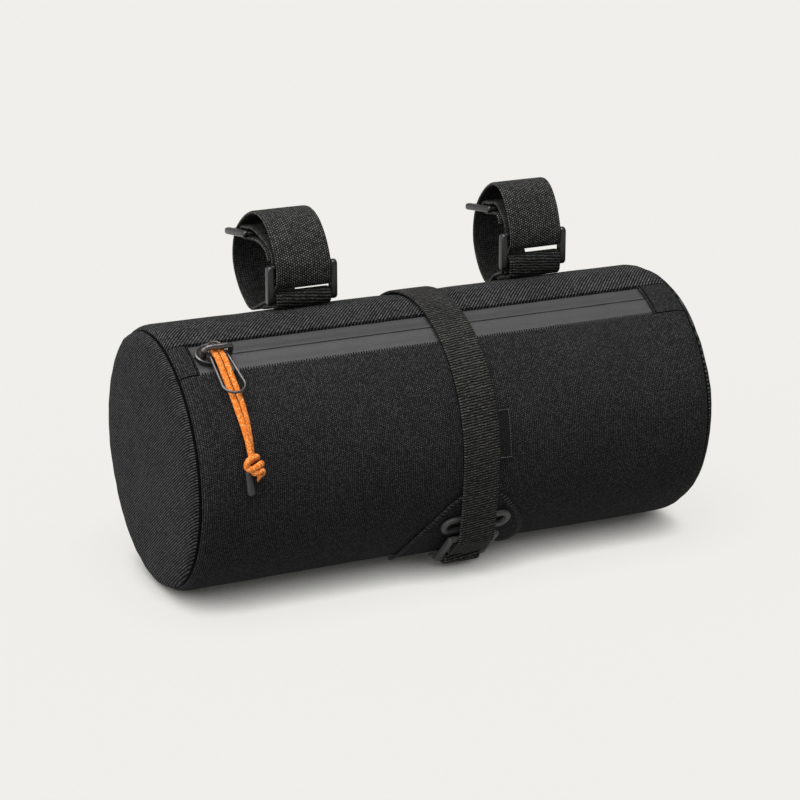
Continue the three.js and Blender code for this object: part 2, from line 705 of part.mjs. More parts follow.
function addLashRing() {
  const stadium = (path, half, radius) => {
    path.absarc(half, 0, radius, -Math.PI / 2, Math.PI / 2, false);
    path.absarc(-half, 0, radius, Math.PI / 2, 1.5 * Math.PI, false);
    return path;
  };
  const straight = (RING_LENGTH - RING_HEIGHT) / 2;
  const outline = stadium(new THREE.Shape(), straight, RING_HEIGHT / 2);
  outline.holes.push(stadium(new THREE.Path(), straight, RING_HEIGHT / 2 - RING_BAND));
  const ring = add('lash_ring', plate(outline, RING_THICKNESS, 0.6, 6, 1), PLASTIC);
  seat(ring, CENTRE_X + 1, RING_ANGLE, PATCH_TOP + CLEARANCE + RING_THICKNESS / 2);
}

function addLabel() {
  const from = CENTRE_X + CENTRE_WIDTH / 2 + CLEARANCE;
  const lie = BARREL_RADIUS + CLEARANCE;
  const section = bandSection(from, from + LABEL_WIDTH, lie, lie + LABEL_WALL);
  const half = degrees(LABEL_HEIGHT / 2 / lie);
  add('label_tab', sweepRound(() => section, LABEL_ANGLE - half, LABEL_ANGLE + half, 5), WEBBING);
}

const WRAP_ACROSS = BUCKLE_BAR_DEPTH / 2 + FOLD_CLEARANCE + STRAP_WEBBING / 2;
const WRAP_UP = BUCKLE_BAR / 2 + FOLD_CLEARANCE + STRAP_WEBBING / 2;

function buckleFoot(row) {
  return BARREL_RADIUS + row.buckleLift;
}

function addBuckle(row) {
  const geometry = ladder({
    width: STRAP_WIDTH + 2 * BUCKLE_RAIL + 1,
    length: row.buckleHeight,
    rail: BUCKLE_RAIL,
    railDepth: BUCKLE_RAIL_DEPTH,
    barDepth: BUCKLE_BAR_DEPTH,
    bars: [
      { at: row.lowBar, size: BUCKLE_BAR },
      { at: row.middleBar, size: BUCKLE_BAR },
      { at: row.buckleHeight - BUCKLE_TOP_BAR / 2, size: BUCKLE_TOP_BAR },
    ],
  });
  const buckle = add(`strap_buckle_${row.side}`, geometry, PLASTIC);
  buckle.rotation.x = Math.PI / 2;
  buckle.position.set(row.x, row.buckleY, buckleFoot(row));
}

// A short webbing sewn flat on the barrel and folded up round the buckle's lower bar.
function addStrapAnchor(row) {
  const lie = BARREL_RADIUS + CLEARANCE + STRAP_WEBBING / 2;
  const front = row.buckleY - WRAP_ACROSS;
  const back = row.buckleY + WRAP_ACROSS;
  const angleAt = (y) => degrees(Math.acos(-y / lie));
  const points = [];
  for (let k = 0; k <= 4; k += 1) {
    points.push(polar(THREE.MathUtils.lerp(STRAP_FOOT_END_ANGLE - 3, angleAt(front + 3), k / 4), lie));
  }
  points.push(new THREE.Vector2(front + 0.9, polar(angleAt(front + 0.9), lie).y + 0.5));
  points.push(new THREE.Vector2(front + 0.1, polar(angleAt(front), lie).y + 1.8));
  for (let turn = 180; turn >= 0; turn -= 30) {
    const y = row.buckleY + WRAP_ACROSS * Math.cos(radians(turn));
    const z = buckleFoot(row) + row.lowBar + WRAP_UP * Math.sin(radians(turn));
    points.push(new THREE.Vector2(y, z));
  }
  const endHeight = polar(angleAt(back), lie).y + STRAP_WEBBING / 2 + 2 * CLEARANCE;
  points.push(new THREE.Vector2(back, endHeight));
  const shape = bandShape(smoothCourse(points, 34), STRAP_WEBBING);
  add(`strap_anchor_${row.side}`, drawnAlongX(shape, STRAP_WIDTH), WEBBING).position.x = row.x;
}

function loopPoint(row, share) {
  const y = row.buckleY - WRAP_ACROSS + share.back * row.loopDepth;
  return new THREE.Vector2(y, BARREL_RADIUS + share.up * row.loopHeight);
}

// The keeper's middle bar and the directions along it and out of it, from where the loop crosses it.
function keeperPlace(row) {
  const along = new THREE.Vector2(Math.cos(radians(KEEPER_TILT)), Math.sin(radians(KEEPER_TILT)));
  const out = new THREE.Vector2(-along.y, along.x);
  const crossing = loopPoint(row, LOOP_COURSE[KEEPER_ROW]);
  const bar = crossing.clone().addScaledVector(along, -KEEPER_BEFORE_LOOP);
  return { bar, along, out };
}

// A handlebar strap: sewn foot, back of the loop, over the top, down to the buckle's middle bar, round
// it and up inside, round the keeper's middle bar and back to a free end.
function strapCourse(row) {
  const lie = BARREL_RADIUS + 2 * CLEARANCE + 1.5 * STRAP_WEBBING;
  const footStart = degrees(Math.acos(-(row.buckleY + WRAP_ACROSS + STRAP_WEBBING / 2 + 2) / lie));
  const points = [];
  for (let k = 0; k <= 3; k += 1) {
    points.push(polar(THREE.MathUtils.lerp(footStart, STRAP_FOOT_END_ANGLE, k / 3), lie));
  }
  LOOP_COURSE.forEach((share) => points.push(loopPoint(row, share)));
  const front = row.buckleY - WRAP_ACROSS;
  const inside = row.buckleY + WRAP_ACROSS;
  const overBuckle = buckleFoot(row) + row.buckleHeight;
  points.push(new THREE.Vector2(front, overBuckle - 0.5));
  for (let turn = 180; turn <= 360; turn += 30) {
    const y = row.buckleY + WRAP_ACROSS * Math.cos(radians(turn));
    const z = buckleFoot(row) + row.middleBar + WRAP_UP * Math.sin(radians(turn));
    points.push(new THREE.Vector2(y, z));
  }
  points.push(new THREE.Vector2(inside, overBuckle - 0.5));
  points.push(new THREE.Vector2(inside + 0.8, overBuckle + 3.2));
  points.push(new THREE.Vector2(inside + 3.8, overBuckle + 7));
  const { bar, along, out } = keeperPlace(row);
  const pitch = KEEPER_BAR_DEPTH / 2 + FOLD_CLEARANCE + STRAP_WEBBING / 2;
  const at = (p, q) => bar.clone().addScaledVector(along, p).addScaledVector(out, q);
  points.push(at(-KEEPER_REACH - 2, pitch));
  points.push(at(-KEEPER_REACH / 2, pitch));
  for (let turn = 90; turn >= -90; turn -= 30) {
    const across = KEEPER_BAR / 2 + FOLD_CLEARANCE + STRAP_WEBBING / 2;
    points.push(at(across * Math.cos(radians(turn)), pitch * Math.sin(radians(turn))));
  }
  points.push(at(-KEEPER_REACH / 2, -pitch));
  points.push(at(-KEEPER_REACH - 2, -pitch));
  return smoothCourse(points.concat(tailPoints(row, at(-KEEPER_REACH - 2, -pitch))), 108);
}

// The free end: long on the left strap, where it follows the loop's front down, short on the right.
function tailPoints(row, start) {
  const behindBuckle = row.buckleY + WRAP_ACROSS + 2.4 * STRAP_WEBBING;
  if (row.side === 'left') {
    return [
      new THREE.Vector2(THREE.MathUtils.lerp(behindBuckle, start.x, 0.55), start.y + 0.3),
      new THREE.Vector2(THREE.MathUtils.lerp(behindBuckle, start.x, 0.18), start.y - 2.2),
      new THREE.Vector2(behindBuckle + 0.8, start.y - 6.6),
    ];
  }
  return [
    new THREE.Vector2(start.x - 2.4, start.y - 1.6),
    new THREE.Vector2(start.x - 3.6, start.y - 4.6),
  ];
}

function addStrap(row) {
  const shape = bandShape(strapCourse(row), STRAP_WEBBING);
  add(`handlebar_strap_${row.side}`, drawnAlongX(shape, STRAP_WIDTH), WEBBING).position.x = row.x;
}

function addKeeper(row) {
  const { bar } = keeperPlace(row);
  const start = KEEPER_BAR / 2;
  const middle = start + KEEPER_REACH;
  const last = middle + KEEPER_BEFORE_LOOP + KEEPER_BEHIND_LOOP;
  const geometry = ladder({
    width: STRAP_WIDTH + 2 * BUCKLE_RAIL + 1,
    length: last + KEEPER_BAR / 2,
    rail: BUCKLE_RAIL,
    railDepth: KEEPER_RAIL_DEPTH,
    barDepth: KEEPER_BAR_DEPTH,
    bars: [
      { at: start, size: KEEPER_BAR },
      { at: middle, size: KEEPER_BAR },
      { at: last, size: KEEPER_BAR },
    ],
  });
  geometry.translate(0, -middle, 0);
  const keeper = add(`strap_keeper_${row.side}`, geometry, PLASTIC);
  keeper.rotation.x = radians(KEEPER_TILT);
  keeper.position.set(row.x, bar.x, bar.y);
}

addPanels();
addCaps();
addZipper();
addSlider();
addPullTab();
addBight();
addCord();
addKnot();
addCentreStrap();
addLock();
addLockAnchor();
addPatch();
addLashRing();
addLabel();
for (const row of STRAPS) {
  addStrapAnchor(row);
  addBuckle(row);
  addStrap(row);
  addKeeper(row);
}

// The origin lies under the middle of everything but the pull cord, on the floor.
const group = new THREE.Group();
group.add(bag);
bag.remove(loose);
const bounds = new THREE.Box3().setFromObject(bag);
const middle = bounds.getCenter(new THREE.Vector3());
bag.position.set(-middle.x, -middle.y, -bounds.min.z);
bag.add(loose);

export default group;
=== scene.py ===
"""Looks of the handlebar bag: cloth, webbing, zipper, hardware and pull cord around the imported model.

Metres. X runs along the barrel, -Y is the front, +Z is up and the bag stands on z = 0.
An angle about the barrel's axis is measured from the front, through the top: 0 front, 90 top, 180 back.
"""

import math

import bmesh
import bpy
import numpy as np
from mathutils import Matrix, Vector, noise

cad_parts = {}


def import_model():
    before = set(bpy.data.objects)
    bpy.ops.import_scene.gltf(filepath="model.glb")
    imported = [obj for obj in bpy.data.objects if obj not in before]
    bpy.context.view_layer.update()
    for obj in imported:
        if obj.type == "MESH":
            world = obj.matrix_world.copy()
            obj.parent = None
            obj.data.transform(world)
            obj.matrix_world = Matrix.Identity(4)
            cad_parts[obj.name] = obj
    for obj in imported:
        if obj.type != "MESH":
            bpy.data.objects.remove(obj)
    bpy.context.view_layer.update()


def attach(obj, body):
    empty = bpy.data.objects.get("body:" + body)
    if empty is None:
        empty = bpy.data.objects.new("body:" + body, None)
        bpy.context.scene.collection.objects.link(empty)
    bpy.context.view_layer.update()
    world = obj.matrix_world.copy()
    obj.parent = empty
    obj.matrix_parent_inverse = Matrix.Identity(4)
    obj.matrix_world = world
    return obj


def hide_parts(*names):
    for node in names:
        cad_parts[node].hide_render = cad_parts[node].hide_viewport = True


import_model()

# Barrel
BARREL_LENGTH = 0.282
BARREL_RADIUS = 0.0675
WALL = 0.002
EDGE_DROP = 0.0026
EDGE_RUN = 0.007
EDGE_TURN = 0.0005
FLAT_DEPTH = 0.0007
CLEARANCE = 0.00034
REAR_SEAM_ANGLE = 215
CAP_BULGE = 0.006
CAP_WALL = 0.0024
CAP_RINGS = 44
CAP_WALL_RINGS = 24
CAP_TURNS = 200

# Zipper, slider and cord
ZIP_ANGLE = 64
UPPER_TAPE_WIDTH = 0.0091
LOWER_TAPE_WIDTH = 0.0114
TAPE_WALL = 0.001
TEETH_GAP = 0.0006
GARAGE_WALL = 0.001
GARAGE_LEFT_LENGTH = 0.0104
GARAGE_RIGHT_LENGTH = 0.019
SLIDER_X = 0.0207 - BARREL_LENGTH / 2
SLIDER_LENGTH = 0.019
SLIDER_WIDTH = 0.0148
SLIDER_PLATE = 0.0021
BRIDGE_WIRE = 0.0028
BRIDGE_ASIDE = 0.0012
BRIDGE_DOWN = 0.0015
PULL_WIRE = 0.0014
PULL_LENGTH = 0.033
PULL_BEHIND_BRIDGE = 0.0049
PULL_LIFT = 0.0017
PULL_TILT = 6.5
PULL_SLANT = 4
PULL_FLARE = 1.38
CORD_DIAMETER = 0.003
STRAND_HALF_SPACING = 0.00167
KNOT_DRIFT = 0.004
KNOT_ANGLE = 12.2
KNOT_LIFT = 1.25 * CORD_DIAMETER
TIP_LENGTH = 0.012
TIP_DIAMETER = 0.0035
TIP_ASIDE = 0.0014
TIP_ANGLE = 5.4
TIP_LEAN = 5

# Middle strap
CENTRE_X = 0.0075
CENTRE_WIDTH = 0.020
CENTRE_WEBBING = 0.0015
LOCK_ANGLE = -45.5
LOCK_LENGTH = 0.025
LOCK_RAIL = 0.0032
LOCK_BAR = 0.0032
LOCK_LIFT = 0.0045
RING_ANGLE = -31.5
RING_LENGTH = 0.039
RING_HEIGHT = 0.012
RING_BAND = 0.0032
RING_THICKNESS = 0.0023
RING_ROUNDING = 0.0008
PATCH_WALL = 0.0012
PATCH_HALF_WIDTH = 0.033
PATCH_TOP_ANGLE = -17
PATCH_END_ANGLE = -70
LABEL_WIDTH = 0.0064
LABEL_HEIGHT = 0.027
LABEL_ANGLE = 9.5
LABEL_WALL = 0.001

# Handlebar straps
STRAP_WIDTH = 0.030
STRAP_WEBBING = 0.002
STRAPS = [
    {"side": "left", "x": -0.0568, "loop_depth": 0.0622, "loop_height": 0.0443, "buckle_y": 0.010,
     "buckle_lift": 0.0018, "buckle_height": 0.0208, "low_bar": 0.0028, "middle_bar": 0.0123},
    {"side": "right", "x": 0.0782, "loop_depth": 0.0446, "loop_height": 0.0467, "buckle_y": 0.015,
     "buckle_lift": 0.0036, "buckle_height": 0.0202, "low_bar": 0.0042, "middle_bar": 0.015},
]
STRAP_FOOT_END_ANGLE = 116
FOLD_CLEARANCE = 0.0006
BUCKLE_RAIL = 0.0036
BUCKLE_RAIL_DEPTH = 0.0052
BUCKLE_BAR_DEPTH = 0.003
BUCKLE_BAR = 0.0034
BUCKLE_TOP_BAR = 0.0024
KEEPER_BAR = 0.0026
KEEPER_BAR_DEPTH = 0.0022
KEEPER_RAIL_DEPTH = 0.0036
KEEPER_TILT = -9
KEEPER_REACH = 0.012
KEEPER_BEFORE_LOOP = 0.0096
KEEPER_BEHIND_LOOP = 0.0042

# Fineness and looks: length of a webbing's rows, how far the weave of a cloth's inner side is set off from
# its outer side's, the finest grain of all yarns, the cord's lay and yarns, how far out the painted crevice
# shade on the cord and the painted close shadow on the floor reach, and the pitch of the stitches in a bar
# tack.
WEBBING_ROW = 0.0011
WEAVE_SET_OFF = 0.0021
GRAIN_SCALE = 1900
CORD_LAY = 0.0042
CORD_YARNS = 6
CORD_PAINTED_SHADE_REACH = 0.0016
FLOOR_PAINTED_SHADOW_REACH = 0.03
TACK_PITCH = 0.0016

# Outline of the puffed end disc, from the seam over the rim to the middle: how far it stands out as a
# share of its bulge, and its radius as a share of the seam's.
CAP_OUTLINE = [(0.05, 0.985), (0.22, 1), (0.45, 0.993), (0.68, 0.955), (0.84, 0.86), (0.95, 0.56), (1, 0)]

# Course of a handlebar loop from its foot round to the buckle: shares of the loop's depth and height.
LOOP_COURSE = [
    (0.609, -0.2), (0.768, -0.119), (0.908, 0.047), (0.982, 0.25), (0.978, 0.44), (0.911, 0.638),
    (0.802, 0.783), (0.659, 0.907), (0.517, 0.981), (0.374, 0.991), (0.24, 0.928), (0.128, 0.801),
    (0.05, 0.652),
]
KEEPER_ROW = 5

# Half width of the base patch down its length, as shares.
PATCH_OUTLINE = [
    (0, 0.32), (0.06, 0.46), (0.16, 0.62), (0.3, 0.8), (0.45, 0.93), (0.6, 1), (0.8, 1), (1, 0.96),
]

# Course of the pull cord: how far it has drifted from the slider, its angle round the barrel, the height
# of the strands over the cloth while side by side, and how far the pair has turned about itself.
CORD_ROUTE = [
    (0.0012, 63.2, 0.0031, 0), (0.00125, 61.6, 0.0032, 0), (0.00135, 59.6, 0.00345, 0),
    (0.0015, 57.6, 0.0034, 0), (0.00175, 54.6, 0.0027, 0), (0.00205, 51, 0.002, 0),
    (0.0024, 47, 0.00185, 0), (0.00275, 43, 0.00185, 0), (0.00305, 39, 0.00185, 3),
    (0.00335, 35, 0.00185, 10), (0.0036, 31, 0.00185, 22), (0.0038, 27, 0.00185, 36),
    (0.00395, 23, 0.0019, 49), (0.004, 20, 0.002, 57), (0.004, 18, 0.0021, 61),
]

# Middle line of the knot's turned cord about the knot's own place, and of its bare end.
KNOT_COURSE = [
    (0.0026, 0.0036, -0.0014), (0.0022, 0.0043, 0.0004), (0.0004, 0.0045, 0.0014),
    (-0.0018, 0.0036, 0.0016), (-0.0031, 0.0018, 0.0011), (-0.0030, -0.0001, 0.0006),
    (-0.0018, -0.0010, 0.0013), (0.0004, -0.0004, 0.0023), (0.0026, 0.0006, 0.0021),
    (0.0041, 0.0008, 0.0006), (0.0036, -0.0004, -0.0012), (0.0012, -0.0018, -0.0014),
    (0.0004, -0.0028, 0.0002), (0.0016, -0.0029, 0.0017), (0.0036, -0.0024, 0.0017),
    (0.0043, -0.0036, 0.0006), (0.0034, -0.0047, -0.0002), (0.0028, -0.0061, -0.0006),
    (0.0021, -0.0078, -0.0011),
]

SEAM_RADIUS = BARREL_RADIUS - EDGE_DROP
AXIS_HEIGHT = BARREL_RADIUS - FLAT_DEPTH
HALF_LENGTH = BARREL_LENGTH / 2
TAPE_MARGIN = TEETH_GAP / 2 + CLEARANCE
ZIP_TOP_ANGLE = ZIP_ANGLE + math.degrees((UPPER_TAPE_WIDTH + TAPE_MARGIN) / BARREL_RADIUS)
ZIP_BOTTOM_ANGLE = ZIP_ANGLE - math.degrees((LOWER_TAPE_WIDTH + TAPE_MARGIN) / BARREL_RADIUS)
GAP_ANGLE = math.degrees(CLEARANCE / BARREL_RADIUS)
TAPE_TOP = BARREL_RADIUS - GARAGE_WALL - CLEARANCE
PLATE_TOP = TAPE_TOP + CLEARANCE + SLIDER_PLATE
BRIDGE_HEIGHT = PLATE_TOP + 2.5 * CLEARANCE + CORD_DIAMETER + BRIDGE_WIRE / 2
PATCH_TOP = BARREL_RADIUS + CLEARANCE + PATCH_WALL
RING_TOP = PATCH_TOP + CLEARANCE + RING_THICKNESS
LOCK_HEIGHT = PATCH_TOP + LOCK_LIFT
CENTRE_PITCH = LOCK_BAR / 2 + FOLD_CLEARANCE + CENTRE_WEBBING / 2
WRAP_ACROSS = BUCKLE_BAR_DEPTH / 2 + FOLD_CLEARANCE + STRAP_WEBBING / 2
WRAP_UP = BUCKLE_BAR / 2 + FOLD_CLEARANCE + STRAP_WEBBING / 2
ALONG = Vector((1, 0, 0))


# ---------------------------------------------------------------- places


def cosd(degrees):
    return math.cos(math.radians(degrees))


def sind(degrees):
    return math.sin(math.radians(degrees))


def circle(count):
    """(cos, sin) in even steps all round."""
    return [(math.cos(2 * math.pi * i / count), math.sin(2 * math.pi * i / count)) for i in range(count)]


def polar(angle, radius):
    """(y, z) about the barrel's axis."""
    return np.array([-radius * cosd(angle), radius * sind(angle)])


def tangent_point(angle, down, out):
    normal = polar(angle, 1)
    along = np.array([-sind(angle), -cosd(angle)])
    return normal * out + along * down


def world(x, flat):
    return Vector((x, flat[0], flat[1] + AXIS_HEIGHT))


def on_barrel(x, angle, radius):
    return world(x, polar(angle, radius))


def barrel_normal(angle):
    return Vector((0, *polar(angle, 1)))


def up_round(normal):
    """Direction up round the barrel at a place with this normal."""
    return normal.cross(ALONG)


def smooth_course(points, steps):
    """Centripetal Catmull-Rom through the points, resampled evenly."""
    p = [np.array(q, float) for q in points]
    p = [2 * p[0] - p[1]] + p + [2 * p[-1] - p[-2]]
    fine = []
    for a, b, c, d in zip(p, p[1:], p[2:], p[3:]):
        t0 = 0.0
        t1 = t0 + max(np.linalg.norm(b - a), 1e-9) ** 0.5
        t2 = t1 + max(np.linalg.norm(c - b), 1e-9) ** 0.5
        t3 = t2 + max(np.linalg.norm(d - c), 1e-9) ** 0.5
        for t in np.linspace(t1, t2, 12, endpoint=False):
            a1 = (t1 - t) / (t1 - t0) * a + (t - t0) / (t1 - t0) * b
            a2 = (t2 - t) / (t2 - t1) * b + (t - t1) / (t2 - t1) * c
            a3 = (t3 - t) / (t3 - t2) * c + (t - t2) / (t3 - t2) * d
            b1 = (t2 - t) / (t2 - t0) * a1 + (t - t0) / (t2 - t0) * a2
            b2 = (t3 - t) / (t3 - t1) * a2 + (t - t1) / (t3 - t1) * a3
            fine.append((t2 - t) / (t2 - t1) * b1 + (t - t1) / (t2 - t1) * b2)
    fine.append(p[-2])
    return resample(np.array(fine), steps)


def resample(line, steps):
    gaps = np.linalg.norm(np.diff(line, axis=0), axis=1)
    run = np.concatenate([[0], np.cumsum(gaps)])
    wanted = np.linspace(0, run[-1], steps + 1)
    return np.stack([np.interp(wanted, run, line[:, k]) for k in range(line.shape[1])], axis=1)


def course_length(line):
    return float(np.linalg.norm(np.diff(line, axis=0), axis=1).sum())


def wobble(x, y, z=0.0):
    return noise.noise(Vector((x, y, z)))


# ---------------------------------------------------------------- meshes


def add_mesh(name, verts, faces, cloth=None, smooth=True):
    mesh = bpy.data.meshes.new(name)
    mesh.from_pydata([tuple(map(float, v)) for v in verts], [], [tuple(map(int, f)) for f in faces])
    mesh.validate()
    if cloth is not None:
        layer = mesh.attributes.new("cloth", "FLOAT_VECTOR", "POINT")
        layer.data.foreach_set("vector", np.asarray(cloth, np.float32).ravel())
    if smooth:
        mesh.polygons.foreach_set("use_smooth", [True] * len(mesh.polygons))
        mesh.set_sharp_from_angle(angle=math.radians(40))
    piece = bpy.data.objects.new(name, mesh)
    bpy.context.scene.collection.objects.link(piece)
    return piece


def dress(piece, material, slot, *nodes):
    """Gives a piece its material and lets it ride on the bag; the slot argument is not used."""
    piece.data.materials.clear()
    piece.data.materials.append(material)
    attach(piece, "root")
    if nodes:
        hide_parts(*nodes)
    return piece


def shell(name, outer, inner, uv):
    """A closed sheet with thickness between two grids of points, both n by m by 3."""
    n, m = outer.shape[:2]
    verts = np.concatenate([outer.reshape(-1, 3), inner.reshape(-1, 3)])
    flat = np.concatenate([uv.reshape(-1, 2), uv.reshape(-1, 2) + WEAVE_SET_OFF])
    cloth = np.concatenate([flat, np.zeros((len(flat), 1))], axis=1)
    index = np.arange(n * m).reshape(n, m)
    a, b, c, d = index[:-1, :-1], index[1:, :-1], index[1:, 1:], index[:-1, 1:]
    top = np.stack([a, b, c, d], axis=-1).reshape(-1, 4)
    faces = np.concatenate([top, top[:, ::-1] + n * m])
    ring = np.concatenate([index[0, :-1], index[:-1, -1], index[-1, :0:-1], index[:0:-1, 0]])
    nxt = np.roll(ring, -1)
    side = np.stack([ring, nxt, nxt + n * m, ring + n * m], axis=-1)
    return add_mesh(name, verts, np.concatenate([faces, side]), cloth)


def swept(name, sections, uv_along, uv_across, closed=False):
    """A body through sections, each an outline of equal count round the spine."""
    count = len(sections[0])
    verts = np.concatenate(sections)
    rows = len(sections)
    faces = []
    for k in range(rows if closed else rows - 1):
        here, there = k * count, ((k + 1) % rows) * count
        for i in range(count):
            j = (i + 1) % count
            faces.append((here + i, here + j, there + j, there + i))
    if not closed:
        faces.append(tuple(reversed(range(count))))
        faces.append(tuple((rows - 1) * count + i for i in range(count)))
    cloth = np.zeros((len(verts), 3))
    cloth[:, 0] = np.tile(uv_across, rows)
    cloth[:, 1] = np.repeat(uv_along, count)
    return add_mesh(name, verts, faces, cloth)


def webbing(name, line, width, thickness, x, drift=0.00015, backed=False):
    """A flat strap along a course in the Y and Z plane, with rounded selvedges."""
    rows = max(int(course_length(line) / WEBBING_ROW), 8)
    line = resample(np.array(line), rows)
    half, r = width / 2, thickness / 2
    selvedge = [(half - r + r * sind(t), r * cosd(t)) for t in (30, 60, 90, 120, 150)]
    inner = list(np.linspace(half - r, -half + r, 13))
    outline = [(half - r, r)] + selvedge + [(a, -r) for a in inner] + [(-a, -b) for a, b in selvedge]
    outline += [(a, r) for a in inner[-2:0:-1]]
    sections, along = [], []
    run = 0.0
    for k, point in enumerate(line):
        before, after = line[max(k - 1, 0)], line[min(k + 1, rows)]
        step = (after - before) / np.linalg.norm(after - before)
        side = np.array([-step[1], step[0]])
        if k:
            run += float(np.linalg.norm(point - line[k - 1]))
        shift = drift * wobble(run * 60, x * 50, 3.1)
        crowned = [(a, b * (1 - 0.06 * (a / half) ** 2)) for a, b in outline]
        sections.append(np.array([tuple(world(x + a + shift, point + side * b)) for a, b in crowned]))
        along.append(run)
    u = np.array([a for a, b in outline])
    piece = swept(name, sections, np.array(along), u)
    if backed:
        layer = piece.data.attributes["cloth"]
        values = np.empty(len(piece.data.vertices) * 3, np.float32)
        layer.data.foreach_get("vector", values)
        values = values.reshape(-1, 3)
        values[:, 2] = np.tile([1.0 if b > 0 else 0.0 for a, b in outline], len(sections))
        layer.data.foreach_set("vector", values.ravel())
    return piece


def tube(name, points, radius, sides=12, closed=False, taper=None, frame_up=None):
    """A round body along 3-D points. Its cloth attribute is (turn, length)."""
    pts = [Vector(p) for p in points]
    rows = len(pts)
    up = frame_up or ALONG
    sections, along = [], []
    run = 0.0
    previous = None
    for k, p in enumerate(pts):
        if closed:
            before, after = pts[(k - 1) % rows], pts[(k + 1) % rows]
        else:
            before, after = pts[max(k - 1, 0)], pts[min(k + 1, rows - 1)]
        t = (after - before).normalized()
        ref = previous if previous is not None else up
        n = ref - t * ref.dot(t)
        n = n.normalized() if n.length > 1e-6 else t.orthogonal().normalized()
        previous = n
        b = t.cross(n)
        r = radius * (taper(k / (rows - 1)) if taper else 1)
        if k:
            run += (p - pts[k - 1]).length
        sections.append(np.array([tuple(p + (n * cos + b * sin) * r) for cos, sin in circle(sides)]))
        along.append(run)
    u = np.arange(sides) / sides
    return swept(name, sections, np.array(along), u, closed=closed)


def joined_mesh(name, parts, material, slot, *nodes):
    """Joins pieces that share a material into one object."""
    verts, faces, cloth, base = [], [], [], 0
    for part in parts:
        mesh = part.data
        co = np.empty(len(mesh.vertices) * 3)
        mesh.vertices.foreach_get("co", co)
        place = np.array(part.matrix_world)
        verts.append(co.reshape(-1, 3) @ place[:3, :3].T + place[:3, 3])
        faces += [tuple(i + base for i in poly.vertices) for poly in mesh.polygons]
        layer = mesh.attributes.get("cloth")
        values = np.zeros(len(mesh.vertices) * 3, np.float32)
        if layer:
            layer.data.foreach_get("vector", values)
        cloth.append(values.reshape(-1, 3))
        base += len(mesh.vertices)
        bpy.data.objects.remove(part, do_unlink=True)
        bpy.data.meshes.remove(mesh)
    piece = add_mesh(name, np.concatenate(verts), faces, np.concatenate(cloth))
    return dress(piece, material, slot, *nodes)


def rounded_box(size, centre, radius):
    """A box with rounded edges, as a loose object, to be joined into a frame."""
    bm = bmesh.new()
    bmesh.ops.create_cube(bm, size=1)
    bmesh.ops.scale(bm, vec=size, verts=bm.verts)
    bmesh.ops.bevel(bm, geom=bm.edges[:], offset=radius, segments=4, profile=0.5, affect="EDGES")
    bmesh.ops.translate(bm, vec=centre, verts=bm.verts)
    mesh = bpy.data.meshes.new("part")
    bm.to_mesh(mesh)
    bm.free()
    part = bpy.data.objects.new("part", mesh)
    bpy.context.scene.collection.objects.link(part)
    return part


def flip_if_inside_out(piece):
    bm = bmesh.new()
    bm.from_mesh(piece.data)
    bmesh.ops.recalc_face_normals(bm, faces=bm.faces)
    bm.to_mesh(piece.data)
    bm.free()


def seat_matrix(x, angle, radius):
    """Own y runs up round the barrel and own z outwards."""
    turned = Matrix.Rotation(math.pi / 2 - math.radians(angle), 4, "X")
    return Matrix.Translation(on_barrel(x, angle, radius)) @ turned


def rail_piece(x, length, thick, depth):
    """A side rail, rounded at both ends and across its thickness."""
    edge = [(0.08, 0.0), (0.24, 0.03), (0.38, 0.15), (0.47, 0.36), (0.5, 0.62)]
    profile = [(-across, inset) for across, inset in reversed(edge)] + edge
    sections = []
    for across, inset in profile:
        r = depth / 2 - inset * thick / 2
        low, high = depth / 2, length - depth / 2
        ring = []
        for middle, start in ((high, 0), (low, math.pi)):
            for k in range(13):
                turn = start + math.pi * k / 12
                ring.append((x + across * thick, middle + r * math.sin(turn), r * math.cos(turn)))
        sections.append(np.array(ring))
    return swept("part", sections, np.arange(len(profile)) * 0.001, np.arange(26) * 0.001)


def ladder(name, matrix, width, length, rail, rail_depth, bar_depth, bars, material, *nodes):
    """A moulded frame: two rails with rounded ends and bars between them, own y from its lower end."""
    half = width / 2
    parts = [rail_piece(side * (half - rail / 2), length, rail, rail_depth) for side in (-1, 1)]
    for at, size in bars:
        parts.append(rounded_box((width - rail, size, bar_depth), (0, at, 0), min(size, bar_depth) * 0.42))
    for part in parts:
        part.matrix_world = matrix
        flip_if_inside_out(part)
    bpy.context.view_layer.update()
    return joined_mesh(name, parts, material, "plastic", *nodes)


def stitches(name, places, length, radius, material):
    """Thread stitches: each place is (point, direction, normal). A stitch is a bowed short thread."""
    verts, faces, cloth = [], [], []
    sides, rows = 6, 6
    for index, (p, d, n) in enumerate(places):
        d, n = d.normalized(), n.normalized()
        b = d.cross(n).normalized()
        base = len(verts)
        for k in range(rows):
            s = k / (rows - 1) * 2 - 1
            rise = radius * (0.75 - 1.15 * s * s)
            r = radius * (1 - 0.45 * abs(s) ** 3)
            centre = p + d * (s * length / 2) + n * rise
            for i, (cos, sin) in enumerate(circle(sides)):
                verts.append(centre + (n * cos + b * sin) * r)
                cloth.append((i / sides, k / rows * length, index * 0.37))
        for k in range(rows - 1):
            for i in range(sides):
                j = (i + 1) % sides
                faces.append((base + k * sides + i, base + k * sides + j,
                              base + (k + 1) * sides + j, base + (k + 1) * sides + i))
        faces.append(tuple(base + i for i in reversed(range(sides))))
        faces.append(tuple(base + (rows - 1) * sides + i for i in range(sides)))
    dress(add_mesh(name, verts, faces, cloth), material, "webbing")


# ---------------------------------------------------------------- materials


def shade(colour, share):
    return tuple(share * c for c in colour)


